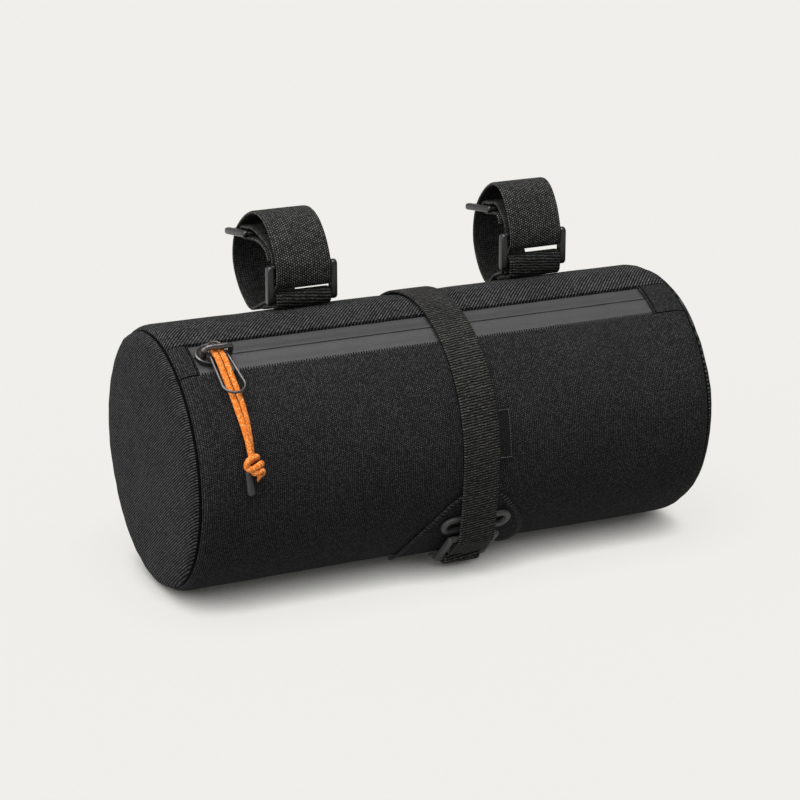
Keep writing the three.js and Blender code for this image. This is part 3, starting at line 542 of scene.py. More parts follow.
class Shader:
    """A node material built by short calls. Sockets and numbers can be mixed freely."""

    def __init__(self, name):
        self.material = bpy.data.materials.new(name)
        self.material.use_nodes = True
        self.tree = self.material.node_tree
        self.tree.nodes.clear()
        self.surface = self.tree.nodes.new("ShaderNodeBsdfPrincipled")
        output = self.tree.nodes.new("ShaderNodeOutputMaterial")
        self.tree.links.new(self.surface.outputs[0], output.inputs[0])

    def put(self, socket, value):
        if isinstance(value, bpy.types.NodeSocket):
            self.tree.links.new(value, socket)
        elif value is not None:
            socket.default_value = value

    def node(self, kind, inputs=(), **properties):
        made = self.tree.nodes.new(kind)
        for key, value in properties.items():
            setattr(made, key, value)
        for key, value in dict(inputs).items():
            self.put(made.inputs[key], value)
        return made

    def math(self, operation, a, b=None, c=None, clamp=False):
        made = self.tree.nodes.new("ShaderNodeMath")
        made.operation = operation
        made.use_clamp = clamp
        for socket, value in zip(made.inputs, (a, b, c)):
            self.put(socket, value)
        return made.outputs[0]

    def times(self, a, b, clamp=False):
        return self.math("MULTIPLY", a, b, clamp=clamp)

    def plus(self, a, b):
        return self.math("ADD", a, b)

    def level(self, value, low, gain):
        """low + gain * value."""
        return self.plus(low, self.times(value, gain))

    def set(self, **values):
        for key, value in values.items():
            self.put(self.surface.inputs[key.replace("_", " ")], value)

    def cloth(self):
        """The cloth's own coordinates in metres: across, along and a third that tells pieces apart."""
        attribute = self.node("ShaderNodeAttribute", attribute_name="cloth", attribute_type="GEOMETRY")
        split = self.node("ShaderNodeSeparateXYZ", {0: attribute.outputs["Vector"]})
        return attribute.outputs["Vector"], split.outputs[0], split.outputs[1]

    def place(self):
        return self.node("ShaderNodeTexCoord").outputs["Object"]

    def noise(self, vector, scale, detail=2.0, rough=0.5):
        made = self.node("ShaderNodeTexNoise", {"Vector": vector, "Scale": scale, "Detail": detail,
                                                "Roughness": rough})
        return made.outputs["Fac"]

    def ramp(self, factor, low, high):
        made = self.node("ShaderNodeMapRange", {"Value": factor, "From Min": low, "From Max": high})
        made.clamp = True
        return made.outputs["Result"]

    def mix(self, factor, a, b):
        made = self.node("ShaderNodeMix", data_type="RGBA")
        self.put(made.inputs["Factor"], factor)
        self.put(made.inputs["A"], a if not isinstance(a, tuple) else (*a, 1))
        self.put(made.inputs["B"], b if not isinstance(b, tuple) else (*b, 1))
        return made.outputs["Result"]

    def bump(self, height, distance, strength=1.0):
        made = self.node("ShaderNodeBump", {"Height": height, "Distance": distance, "Strength": strength})
        self.put(self.surface.inputs["Normal"], made.outputs["Normal"])

    def bead(self, value, pitch):
        """A rounded ridge repeated every pitch: 0 between ridges, 1 on top."""
        return self.math("ABSOLUTE", self.math("SINE", self.times(value, math.pi / pitch)))


def woven(s, across, along, pitch_across, pitch_along, brick, sharp_across, sharp_along):
    """Yarn crowns in columns, each column shifted on by a share of the pitch.

    Gives the height and a value per crown.
    """
    columns = s.math("DIVIDE", across, pitch_across)
    column = s.math("FLOOR", columns)
    rows = s.plus(s.math("DIVIDE", along, pitch_along), s.times(column, brick))
    cell = s.node("ShaderNodeCombineXYZ", {0: column, 1: s.math("FLOOR", rows)}).outputs[0]
    value = s.node("ShaderNodeTexWhiteNoise", {"Vector": cell}, noise_dimensions="2D").outputs["Value"]
    ridge = s.math("POWER", s.bead(columns, 1.0), sharp_across)
    crown = s.math("POWER", s.bead(rows, 1.0), sharp_along)
    return s.times(ridge, crown), value


def sway(s, vector, scale, detail, reach):
    """How far the yarns wander from their straight run."""
    return s.times(s.math("SUBTRACT", s.noise(vector, scale, detail), 0.5), reach)


def yarn_material(s, vector, colours, height, shine, patch, grain_height, depth, **surface):
    """Lights the crowns up with painted highlight, leaving painted shade between them, by their own shine, by
    larger patches and by the finest grain.
    """
    grain = s.noise(vector, GRAIN_SCALE, 1.0, 0.6)
    # Painted highlight on the crowns and painted shade in the dark between them.
    tone = s.times(s.times(s.times(height, shine), patch), s.plus(0.5, grain), clamp=True)
    s.set(Base_Color=s.mix(tone, *colours), Sheen_Weight=0.006, **surface)
    s.bump(s.plus(height, s.times(grain, grain_height)), depth)
    return s.material


def plain_cloth(name, dark, light, pitch):
    """Plain-woven bag cloth: a fine crepe of yarn crowns, of which a few carry a bright painted highlight."""
    s = Shader(name)
    vector, u, v = s.cloth()
    drift = sway(s, vector, 380, 2.0, 0.0009)
    height, value = woven(s, s.plus(u, drift), s.plus(v, drift), pitch * 1.2, pitch, 0.5, 1.3, 1.6)
    shine = s.level(s.math("POWER", value, 1.5), 0.45, 0.75)
    patch = s.level(s.noise(vector, 30, 3.0, 0.55), 0.82, 0.36)
    return yarn_material(s, vector, (dark, light), height, shine, patch, 0.5, 0.00026, Roughness=0.8,
                         Sheen_Roughness=0.5, Sheen_Tint=(0.8, 0.8, 0.82, 1), Specular_IOR_Level=0.04)


def twill_cloth(name, dark, light, pitch, slope, thin):
    """Twill-woven bag cloth: thin diagonal lines of painted highlight on short yarn crowns, on a dark ground.
    """
    s = Shader(name)
    vector, u, v = s.cloth()
    c, d = cosd(slope), sind(slope)
    drift = sway(s, vector, 140, 2.0, 0.0005)
    across = s.plus(s.math("SUBTRACT", s.times(v, c), s.times(u, d)), drift)
    along = s.plus(s.times(u, c), s.times(v, d))
    height, value = woven(s, across, along, pitch, pitch * 0.8, 0.35, thin, 0.3)
    shine = s.level(value, 0.4, 0.9)
    patch = s.level(s.noise(vector, 36, 3.0, 0.55), 0.65, 0.7)
    return yarn_material(s, vector, (dark, light), height, shine, patch, 0.2, 0.00035, Roughness=0.78,
                         Sheen_Roughness=0.5, Sheen_Tint=(0.8, 0.8, 0.82, 1), Specular_IOR_Level=0.05)


def webbing_material(name, dark, light, pitch_across, pitch_along, brick=0.5, ridge=0.5, crown=0.8,
                     wander=0.0003, spread=0.6, back_pitch=None):
    """Strap webbing: yarn crowns in rows, painted lighter as highlight. The back of a loop shows a coarser
    square grid.
    """
    s = Shader(name)
    vector, u, v = s.cloth()
    drift = sway(s, vector, 420, 1.0, wander)
    height, value = woven(s, u, s.plus(v, drift), pitch_across, pitch_along, brick, ridge, crown)
    if back_pitch:
        back = woven(s, u, v, back_pitch, back_pitch, 0.0, 0.7, 0.7)[0]
        split = s.node("ShaderNodeSeparateXYZ", {0: vector})
        behind = s.ramp(split.outputs[2], 0.4, 0.6)
        front = s.times(height, s.math("SUBTRACT", 1.0, behind))
        height = s.plus(front, s.times(s.times(back, 0.36), behind))
    shine = s.level(value, 1.0 - spread, 1.3 * spread)
    patch = s.level(s.noise(vector, 50, 3.0), 0.65, 0.7)
    return yarn_material(s, vector, (dark, light), height, shine, patch, 0.2, 0.0004, Roughness=0.72,
                         Sheen_Roughness=0.45, Sheen_Tint=(0.85, 0.83, 0.8, 1), Specular_IOR_Level=0.06)


def plastic_material(name, colour, rough):
    s = Shader(name)
    vector = s.place()
    grain = s.noise(vector, 900, 3.0, 0.6)
    smear = s.noise(vector, 70, 3.0)
    base = s.mix(smear, shade(colour, 0.85), shade(colour, 1.2))
    s.set(Base_Color=base, Roughness=s.plus(rough - 0.08, s.times(smear, 0.16)),
          Specular_IOR_Level=0.45)
    s.bump(grain, 0.00004, 0.5)
    return s.material


def metal_material(name, colour, rough):
    s = Shader(name)
    vector = s.place()
    smear = s.noise(vector, 160, 3.0)
    scuff = s.ramp(s.noise(vector, 1400, 1.0), 0.62, 0.72)
    s.set(Base_Color=s.mix(s.times(scuff, 0.35), colour, (0.32, 0.31, 0.31)), Metallic=0.9,
          Roughness=s.plus(rough, s.times(smear, 0.14)))
    s.bump(smear, 0.00003, 0.3)
    return s.material


def tape_material(name, colour):
    """Coated tape: smooth film over a faint weave, scuffed a little."""
    s = Shader(name)
    vector, u, v = s.cloth()
    weave = s.times(s.bead(u, 0.0009), s.bead(v, 0.0009))
    smear = s.noise(vector, 90, 3.0)
    scuff = s.noise(vector, 700, 2.0)
    base = s.mix(s.plus(s.times(smear, 0.7), s.times(scuff, 0.25)),
                 shade(colour, 0.8), shade(colour, 1.25))
    s.set(Base_Color=base, Roughness=0.52, Specular_IOR_Level=0.4)
    s.bump(s.plus(s.times(weave, 0.4), scuff), 0.00005, 0.5)
    return s.material


def cord_material(name, base_colour, light_colour, shade_colour):
    """Braided cord: two families of yarns that cross, with shaded gaps between the crowns."""
    s = Shader(name)
    turn, along = s.cloth()[1:]
    lay = s.math("DIVIDE", along, CORD_LAY)
    left = s.bead(s.plus(turn, lay), 0.5 / CORD_YARNS)
    right = s.bead(s.math("SUBTRACT", turn, lay), 0.5 / CORD_YARNS)
    crown = s.math("POWER", s.times(left, right), 0.6)
    fleck = s.ramp(s.noise(s.place(), 1300, 1.0), 0.48, 0.7)
    colour = s.mix(s.ramp(crown, 0.1, 0.8), shade_colour, base_colour)
    colour = s.mix(s.times(fleck, 0.75), colour, light_colour)
    # Painted shade: where ambient occlusion finds the cord close to itself or the cloth, as in the knot's
    # crevices and between the strands, its colour is darkened towards a deep shade colour.
    open_side = s.node("ShaderNodeAmbientOcclusion", {"Distance": CORD_PAINTED_SHADE_REACH}, samples=8).outputs["AO"]
    colour = s.mix(s.ramp(open_side, 0.12, 0.5), shade(shade_colour, 0.35), colour)
    s.set(Base_Color=colour, Roughness=0.72, Sheen_Weight=0.06, Sheen_Roughness=0.4,
          Sheen_Tint=(1, 0.6, 0.3, 1), Specular_IOR_Level=0.12)
    s.bump(crown, 0.0002, 0.8)
    return s.material


def thread_material(name, colour, gloss):
    s = Shader(name)
    turn, along = s.cloth()[1:]
    twist = s.bead(s.plus(turn, s.math("DIVIDE", along, 0.0009)), 0.34)
    # Painted shade: the grooves of the twist are given half the thread's colour.
    s.set(Base_Color=s.mix(twist, shade(colour, 0.5), colour), Roughness=0.6,
          Sheen_Weight=0.1 * gloss, Specular_IOR_Level=gloss)
    s.bump(twist, 0.00008, 0.7)
    return s.material


def floor_material():
    """A pale floor lit mostly by its own glow; the bag's close shadow on it is mostly painted, by darkening
    that glow near the bag.
    """
    s = Shader("floor")
    grain = s.noise(s.place(), 3.0, 2.0)
    open_sky = s.node("ShaderNodeAmbientOcclusion", {"Distance": FLOOR_PAINTED_SHADOW_REACH}, samples=16).outputs["AO"]
    # Painted shadow: the floor's glow is darkened towards near black where ambient occlusion finds the bag
    # close over it.
    near = s.ramp(open_sky, 0.06, 0.62)
    s.set(Base_Color=s.mix(grain, (0.078, 0.077, 0.0745), (0.08, 0.079, 0.0765)), Roughness=0.95,
          Specular_IOR_Level=0.0, Emission_Color=s.mix(near, (0.02, 0.02, 0.018), (1.0, 0.991, 0.954)),
          Emission_Strength=0.714)
    return s.material


CLOTH_TOP = twill_cloth("cloth_top", (0.001, 0.001, 0.0011), (0.088, 0.088, 0.09), 0.00142, 50, 3.6)
CLOTH_FRONT = plain_cloth("cloth_front", (0.0019, 0.0019, 0.002), (0.069, 0.069, 0.0705), 0.00086)
CLOTH_CAP = twill_cloth("cloth_cap", (0.0012, 0.0012, 0.0013), (0.073, 0.073, 0.0745), 0.00125, 36, 3.0)
WEBBING = webbing_material("webbing", (0.0016, 0.0016, 0.0016), (0.118, 0.117, 0.114), 0.0012, 0.0013,
                           0.5, 1.5, 1.7, back_pitch=0.0013)
GROSGRAIN = webbing_material("grosgrain", (0.002, 0.002, 0.002), (0.068, 0.067, 0.063), 0.0017, 0.0014,
                             0.12, 0.16, 3.0, 0.0012, 0.5)
ANCHOR_WEBBING = webbing_material("anchor_webbing", (0.0016, 0.0016, 0.0016), (0.05, 0.05, 0.048),
                                  0.0017, 0.0014, 0.12, 0.16, 2.4, 0.0012, 0.5)
SATIN = webbing_material("satin", (0.002, 0.002, 0.0022), (0.02, 0.02, 0.0205), 0.0005, 0.0008)
PLASTIC = plastic_material("plastic", (0.0045, 0.0045, 0.0048), 0.32)
PLASTIC_FLAT = plastic_material("plastic_flat", (0.02, 0.02, 0.0205), 0.5)
METAL = metal_material("dark_metal", (0.082, 0.079, 0.077), 0.27)
TAPE = tape_material("coated_tape", (0.0222, 0.0222, 0.0227))
CORD = cord_material("orange_cord", (0.9, 0.215, 0.015), (1.0, 0.52, 0.19), (0.27, 0.043, 0.003))
SLEEVE = plastic_material("sleeve", (0.017, 0.018, 0.02), 0.5)
THREAD = thread_material("thread", (0.0022, 0.0022, 0.0023), 0.02)
THREAD_LIGHT = thread_material("thread_light", (0.03, 0.03, 0.0305), 0.2)
THREAD_EDGE = thread_material("thread_edge", (0.085, 0.085, 0.084), 0.2)


# ---------------------------------------------------------------- camera, then the cord

CAMERA_AZIMUTH = -24.8
CAMERA_ELEVATION = 18.3
CAMERA_DISTANCE = 1.310
CAMERA_RIGHT = -0.0057
CAMERA_UP = 0.0111
LENS_MM = 112.5


def add_camera():
    az, el = math.radians(CAMERA_AZIMUTH), math.radians(CAMERA_ELEVATION)
    back = Vector((math.sin(az) * math.cos(el), -math.cos(az) * math.cos(el), math.sin(el)))
    right = Vector((math.cos(az), math.sin(az), 0))
    up = back.cross(right)
    data = bpy.data.cameras.new("camera")
    data.lens = LENS_MM
    data.sensor_width = 36
    data.clip_end = 20
    camera = bpy.data.objects.new("camera", data)
    axis = Vector((0, 0, AXIS_HEIGHT))
    place = axis + back * CAMERA_DISTANCE + right * CAMERA_RIGHT + up * CAMERA_UP
    camera.matrix_world = Matrix.Translation(place) @ Matrix((right, up, back)).transposed().to_4x4()
    bpy.context.scene.collection.objects.link(camera)
    bpy.context.scene.camera = camera


def strand_point(row, sign):
    drift, angle, lift, turn = row
    rise = (1 - sign) * STRAND_HALF_SPACING * sind(turn)
    aside = sign * STRAND_HALF_SPACING * cosd(turn)
    return on_barrel(SLIDER_X + drift + aside, angle, BARREL_RADIUS + lift + rise)


def add_cord():
    knot, tip = add_knot()
    reach = STRAND_HALF_SPACING
    bight_points = [(reach, -0.0005)] + [(reach * cosd(t), reach * sind(t)) for t in range(0, 181, 15)]
    bight_points.append((-reach, -0.0005))
    place = seat_matrix(SLIDER_X + CORD_ROUTE[0][0], ZIP_ANGLE, PLATE_TOP + CLEARANCE + CORD_DIAMETER / 2)
    bight = tube("cord_turn", [place @ Vector((x, y, 0)) for x, y in bight_points], CORD_DIAMETER / 2, 14,
                 frame_up=Vector((0, -0.5, 0.8)))
    dress(bight, CORD, "orange_cord", "cord_bight")
    for side, sign in (("left", -1), ("right", 1)):
        route = smooth_course([tuple(strand_point(row, sign)) for row in CORD_ROUTE], 60)
        strand = tube(f"cord_strand_{side}", route, CORD_DIAMETER / 2, 20)
        dress(strand, CORD, "orange_cord", f"pull_cord_{side}")


def add_knot():
    """The knot is one turned cord that swallows both strands, with a short bare end."""
    place = seat_matrix(SLIDER_X + KNOT_DRIFT, KNOT_ANGLE, BARREL_RADIUS + CLEARANCE + KNOT_LIFT)
    line = smooth_course(KNOT_COURSE, 130)
    thick = lambda t: 1.12 if t < 0.86 else 1.12 - 0.94 * ((t - 0.86) / 0.14) ** 1.3
    parts = [tube("knot_coil", [place @ Vector(p) for p in line], CORD_DIAMETER / 2, 18, taper=thick)]
    for sign in (-1, 1):
        top, before = strand_point(CORD_ROUTE[-1], sign), strand_point(CORD_ROUTE[-2], sign)
        inside = place @ Vector((0.0004 * sign, 0.0022, -0.0004))
        reach = (top - before).normalized() * 0.002
        stub = smooth_course([tuple(top - reach * 0.04), tuple(top + reach), tuple(inside)], 12)
        parts.append(tube("knot_stub", stub, CORD_DIAMETER / 2 * 0.995, 18))
    knot = joined_mesh("knot", parts, CORD, "orange_cord", "cord_knot")
    sleeve_place = seat_matrix(SLIDER_X + KNOT_DRIFT - TIP_ASIDE, TIP_ANGLE,
                               BARREL_RADIUS + CLEARANCE + TIP_DIAMETER / 2)
    sleeve_place = sleeve_place @ Matrix.Rotation(math.radians(TIP_LEAN), 4, "Z")
    profile = [(-0.5, 0.45), (-0.492, 0.75), (-0.47, 0.95), (-0.42, 1.08), (-0.3, 1.1), (0.0, 1.0),
               (0.2, 0.93), (0.42, 0.9), (0.48, 0.86), (0.5, 0.7)]
    sections = []
    for along, share in profile:
        ring = []
        for i in range(24):
            turn = 2 * math.pi * i / 24
            r = share * TIP_DIAMETER / 2 * (1 + 0.03 * math.sin(3 * turn + 20 * along))
            ring.append(tuple(sleeve_place @ Vector((r * math.cos(turn), along * TIP_LENGTH,
                                                     0.92 * r * math.sin(turn)))))
        sections.append(np.array(ring[::-1]))
    tip = swept("sleeve", sections, np.array(profile)[:, 0], np.arange(24) / 24)
    dress(tip, SLEEVE, "sleeve", "cord_tip")
    return knot, tip


add_camera()
add_cord()


# ---------------------------------------------------------------- cloth


def barrel_fall(x):
    """How far the barrel's cloth has turned in towards its end seams."""
    over = np.clip((np.abs(x) - (HALF_LENGTH - EDGE_RUN)) / EDGE_RUN, 0, 1)
    return EDGE_DROP * (1 - np.sqrt(1 - over ** 2))


def relief(x, angle):
    """Small unevenness of the padded cloth: soft waves, puckers at the seams, a dent under the strap."""
    arc = math.radians(angle) * BARREL_RADIUS
    wave = 0.00035 * wobble(x * 22, arc * 26, 1.7) + 0.00018 * wobble(x * 60, arc * 55, 7.7)
    edge = HALF_LENGTH - abs(x)
    pucker = 0.00032 * wobble(x * 18, arc * 190, 4.2) * math.exp(-edge / 0.009)
    off_zip = math.radians(min(abs(angle - ZIP_TOP_ANGLE), abs(angle - ZIP_BOTTOM_ANGLE))) * BARREL_RADIUS
    pucker += 0.00022 * wobble(x * 150, arc * 20, 9.1) * math.exp(-off_zip / 0.006)
    off_strap = max(abs(x - CENTRE_X) - CENTRE_WIDTH / 2, 0)
    dent = -0.0005 * math.exp(-(off_strap / 0.006) ** 2)
    return min(wave + pucker, 0.0002) + dent


def cloth_points(xs, angles, depth, soft=True):
    grid = np.empty((len(xs), len(angles), 3))
    for i, x in enumerate(xs):
        fall = float(barrel_fall(x))
        for j, angle in enumerate(angles):
            r = BARREL_RADIUS - fall - depth + (relief(x, angle) if soft else 0)
            y, z = polar(angle, r)
            grid[i, j] = (x, y, max(z, depth - AXIS_HEIGHT) + AXIS_HEIGHT)
    return grid


def edge_rows(low, high, step, ease):
    """Even rows with a few close ones at both edges, where the cloth turns over."""
    inside = np.linspace(low + ease, high - ease, max(int((high - low) / step), 2))
    return np.concatenate([[low, low + ease * 0.4], inside, [high - ease * 0.4, high]])


def panel(name, low, high, material, node):
    xs = edge_rows(-HALF_LENGTH, HALF_LENGTH, 0.0018, 0.0008)
    angles = edge_rows(low, high, 1.6, 0.5)
    outer = cloth_points(xs, angles, 0.0)
    inner = cloth_points(xs, angles, WALL, soft=False)
    for row in (0, -1):
        out = outer[:, row] - np.array([0, 0, AXIS_HEIGHT])
        out[:, 0] = 0
        outer[:, row] -= EDGE_TURN * out / np.linalg.norm(out, axis=1)[:, None]
    arc = np.radians(angles) * BARREL_RADIUS
    uv = np.stack(np.meshgrid(xs, arc, indexing="ij"), axis=-1)
    dress(shell(name, outer, inner, uv), material, "cloth", node)


def add_caps():
    rows = smooth_course([(r * SEAM_RADIUS, out * CAP_BULGE) for out, r in CAP_OUTLINE], CAP_RINGS)
    rows[-1, 0] = 0
    for side, sign in (("left", -1), ("right", 1)):
        outer = np.empty((len(rows), CAP_TURNS, 3))
        inner = np.empty_like(outer)
        uv = np.empty((len(rows), CAP_TURNS, 2))
        for i, (r, out) in enumerate(rows):
            for j, (cos, sin) in enumerate(circle(CAP_TURNS)):
                y, z = r * cos, r * sin
                soft = 0.0006 * wobble(y * 30, z * 30, 5 + sign) + 0.0002 * wobble(y * 90, z * 90, sign)
                rim = math.exp(-((SEAM_RADIUS - r) / 0.008) ** 2)
                soft += 0.00035 * rim * wobble(cos * 9, sin * 9, 11 + sign)
                share = min(out / CAP_BULGE, 1)
                spread = 1 + (soft * 0.4 / SEAM_RADIUS if share > 0.1 else 0)
                lift = out + soft * share
                outer[i, j] = (sign * (HALF_LENGTH + lift), y * spread, z * spread + AXIS_HEIGHT)
                drop = max(out - CAP_WALL, 0.0003)
                k = max(r - (CAP_WALL if i < CAP_WALL_RINGS else 0), 0)
                scale = k / r if r > 0 else 0
                inner[i, j] = (sign * (HALF_LENGTH + drop), y * scale, z * scale + AXIS_HEIGHT)
                uv[i, j] = (sign * y, z)
        piece = closed_disc(f"cap_{side}", outer, inner, uv, sign)
        dress(piece, CLOTH_CAP, "cloth", f"end_cap_{side}")


def closed_disc(name, outer, inner, uv, sign):
    """Rings from the rim to the middle, with the same behind, joined at the rim."""
    n, m = outer.shape[:2]
    verts = np.concatenate([outer[:-1].reshape(-1, 3), [outer[-1, 0]], inner[:-1].reshape(-1, 3),
                            [inner[-1, 0]]])
    flat = np.concatenate([uv[:-1].reshape(-1, 2), [uv[-1, 0]]])
    cloth = np.zeros((len(verts), 3))
    cloth[:, :2] = np.concatenate([flat, flat])
    tip = (n - 1) * m
    back = tip + 1
    faces = []
    for base, flip in ((0, False), (back, True)):
        for i in range(n - 2):
            for j in range(m):
                k = (j + 1) % m
                quad = (base + i * m + j, base + i * m + k, base + (i + 1) * m + k, base + (i + 1) * m + j)
                faces.append(quad[::-1] if flip else quad)
        for j in range(m):
            k = (j + 1) % m
            tri = (base + (n - 2) * m + j, base + (n - 2) * m + k, base + tip)
            faces.append(tri[::-1] if flip else tri)
    for j in range(m):
        k = (j + 1) % m
        faces.append((j, back + j, back + k, k))
    if sign < 0:
        faces = [f[::-1] for f in faces]
    return add_mesh(name, verts, faces, cloth)


def band_on_barrel(x0, x1, a0, a1, r_out, wall, step=0.002, turn=0.0003, shape=None):
    """A flat strip lying round the barrel, its edges turned down a little."""
    xs = edge_rows(x0, x1, step, min(0.0006, (x1 - x0) / 6))
    angles = edge_rows(a0, a1, math.degrees(step / BARREL_RADIUS), 0.4)
    outer = np.empty((len(xs), len(angles), 3))
    inner = np.empty_like(outer)
    for i, x in enumerate(xs):
        for j, angle in enumerate(angles):
            down = turn if i in (0, len(xs) - 1) or j in (0, len(angles) - 1) else 0
            rise = shape(x, angle) if shape else 0
            outer[i, j] = on_barrel(x, angle, r_out - down + rise)
            inner[i, j] = on_barrel(x, angle, r_out - wall + min(rise, 0))
    arc = np.radians(angles) * BARREL_RADIUS
    return outer, inner, np.stack(np.meshgrid(xs, arc, indexing="ij"), axis=-1)


def add_zipper():
    reach = HALF_LENGTH - EDGE_RUN - CLEARANCE
    near = math.degrees(TEETH_GAP / 2 / BARREL_RADIUS)
    for side, sign, width in (("upper", 1, UPPER_TAPE_WIDTH), ("lower", -1, LOWER_TAPE_WIDTH)):
        far = near + math.degrees(width / BARREL_RADIUS)

        def raised(x, angle):
            lip = abs(angle - ZIP_ANGLE) - near
            bead = 0.00025 * math.exp(-((lip - 0.6) / 0.5) ** 2)
            sag = -0.0003 * math.exp(-((lip - 4.2) / 1.6) ** 2)
            return bead + sag + 0.00012 * wobble(x * 90, angle * 0.6, sign)
        low, high = sorted((ZIP_ANGLE + sign * near * 0.5, ZIP_ANGLE + sign * far))
        grids = band_on_barrel(-reach, reach, low, high, TAPE_TOP, TAPE_WALL, 0.0012, 0.00022, raised)
        dress(shell(f"tape_{side}", *grids), TAPE, "coated_tape", f"zipper_tape_{side}")
    ends = (("left", -HALF_LENGTH, GARAGE_LEFT_LENGTH - HALF_LENGTH),
            ("right", HALF_LENGTH - GARAGE_RIGHT_LENGTH, HALF_LENGTH))
    for side, x0, x1 in ends:
        fall = lambda x, angle: -float(barrel_fall(x)) + 0.00015 * wobble(x * 120, angle * 2, 2)
        grids = band_on_barrel(x0, x1, ZIP_BOTTOM_ANGLE + GAP_ANGLE, ZIP_TOP_ANGLE - GAP_ANGLE,
                               BARREL_RADIUS, GARAGE_WALL, 0.001, 0.0003, fall)
        dress(shell(f"garage_{side}", *grids), CLOTH_FRONT, "cloth", f"zipper_garage_{side}")


panel("top_cloth", ZIP_TOP_ANGLE, REAR_SEAM_ANGLE, CLOTH_TOP, "top_panel")
panel("front_cloth", REAR_SEAM_ANGLE - 360 + GAP_ANGLE, ZIP_BOTTOM_ANGLE, CLOTH_FRONT, "front_panel")
add_caps()
add_zipper()


# ---------------------------------------------------------------- slider and pull


def add_slider():
    place = seat_matrix(SLIDER_X, ZIP_ANGLE, PLATE_TOP)
    a, b = SLIDER_LENGTH / 2, SLIDER_WIDTH / 2
    profile = [(0.0, -0.0017), (0.93, -0.0019), (0.985, -0.0017), (1.0, -0.0011), (0.995, -0.0003),
               (0.95, 0.0), (0.88, -0.0001), (0.83, -0.0006), (0.79, -0.0009), (0.5, -0.0008), (0.0, -0.0007)]
    sides = 64
    sections = []
    for share, height in profile:
        r = max(share, 0.002)
        inset = 1 - (1 - share) * 0.25 if share > 0.6 else 1
        sections.append(np.array([tuple(place @ Vector((a * r * inset * cos, b * r * sin, height)))
                                  for cos, sin in circle(sides)]))
    plate = swept("slider_plate", sections, np.arange(len(profile)) * 0.001,
                  np.arange(sides) / sides)
    post = pull_half_top() + PULL_WIRE / 2 + 1.4 * CLEARANCE + BRIDGE_WIRE / 2
    top = BRIDGE_HEIGHT - PLATE_TOP
    corner = BRIDGE_WIRE * 0.6
    leg = [(post - corner, top), (post - corner * 0.3, top - corner * 0.3), (post, top - corner),
           (post, -0.001)]
    arch = [(-x, z) for x, z in reversed(leg)] + [(0, top)] + leg
    arch = [tuple(place @ Vector((BRIDGE_ASIDE + x, -BRIDGE_DOWN, z))) for x, z in arch]
    swell = lambda t: 1 + 0.12 * math.sin(math.pi * t) ** 6
    bridge = tube("bridge", smooth_course(arch, 60), BRIDGE_WIRE / 2, 20, taper=swell,
                  frame_up=Vector((0, 1, 0.3)))
    boss_line = [tuple(place @ Vector((BRIDGE_ASIDE - post + x, -BRIDGE_DOWN, top * 0.72)))
                 for x in np.linspace(-0.0019, 0.0016, 16)]
    ball = lambda t: 0.25 + 1.1 * math.sin(math.pi * min(max(t, 0.02), 0.98)) ** 0.5
    boss = tube("boss", boss_line, BRIDGE_WIRE / 2, 20, taper=ball, frame_up=Vector((0, 1, 0.3)))
    joined_mesh("slider", [plate, bridge, boss], METAL, "dark_metal", "slider_body")


def pull_half_top():
    return STRAND_HALF_SPACING + CORD_DIAMETER / 2 + CLEARANCE + PULL_WIRE / 2


def add_pull_tab():
    high = pull_half_top()
    low = high * PULL_FLARE
    middle = []
    for k in range(25):
        turn = math.pi * k / 24
        middle.append((high * math.cos(turn), -high + high * math.sin(turn)))
    for k in range(1, 12):
        t = k / 12
        middle.append((-high - (low - high) * t, -high + (low - PULL_LENGTH + high) * t))
    for k in range(25):
        turn = math.pi + math.pi * k / 24
        middle.append((low * math.cos(turn), low - PULL_LENGTH + low * math.sin(turn)))
    for k in range(1, 12):
        t = k / 12
        middle.append((low + (high - low) * t, low - PULL_LENGTH + (PULL_LENGTH - low - high) * t))
    upper = tangent_point(ZIP_ANGLE, -PULL_BEHIND_BRIDGE, PLATE_TOP + PULL_WIRE / 2 + PULL_LIFT)
    aside = BRIDGE_ASIDE - (PULL_BEHIND_BRIDGE + BRIDGE_DOWN) * sind(PULL_SLANT)
    tilt = math.pi / 2 - math.radians(ZIP_ANGLE) + math.radians(PULL_TILT)
    place = Matrix.Translation(world(SLIDER_X + aside, upper)) @ Matrix.Rotation(tilt, 4, "X")
    place = place @ Matrix.Rotation(math.radians(PULL_SLANT), 4, "Z")
    points = [place @ Vector((x, y, 0)) for x, y in middle]
    normal = (place.to_3x3() @ Vector((0, 0, 1))).normalized()
    tab = tube("tab_wire", points, PULL_WIRE / 2, 14, closed=True, frame_up=normal)
    dress(tab, METAL, "dark_metal", "pull_tab")


add_slider()
add_pull_tab()


# ---------------------------------------------------------------- middle strap


def centre_course():
    lie = BARREL_RADIUS + CLEARANCE + CENTRE_WEBBING / 2
    points = [polar(a, lie) for a in range(REAR_SEAM_ANGLE - 2, -4, -6)]
    over = RING_TOP + CLEARANCE + CENTRE_WEBBING / 2
    ring_half = math.degrees(RING_HEIGHT / 2 / RING_TOP)
    points.append(polar(PATCH_TOP_ANGLE, PATCH_TOP + CLEARANCE + CENTRE_WEBBING / 2 + 0.0001))
    points.append(polar(RING_ANGLE + ring_half, over / cosd(ring_half) + 0.0001))
    high, low = LOCK_HEIGHT + CENTRE_PITCH, LOCK_HEIGHT - CENTRE_PITCH
    first = LOCK_BAR / 2 - LOCK_LENGTH / 2
    for s in (first - 0.0015, first + 0.0015, -0.0012):
        points.append(tangent_point(LOCK_ANGLE, s, high))
    for turn in range(90, -91, -30):
        points.append(tangent_point(LOCK_ANGLE, CENTRE_PITCH * cosd(turn),
                                    LOCK_HEIGHT + CENTRE_PITCH * sind(turn)))
    points.append(tangent_point(LOCK_ANGLE, -0.003, low))
    points.append(tangent_point(LOCK_ANGLE, -0.006, low))
    return smooth_course(points, 400)


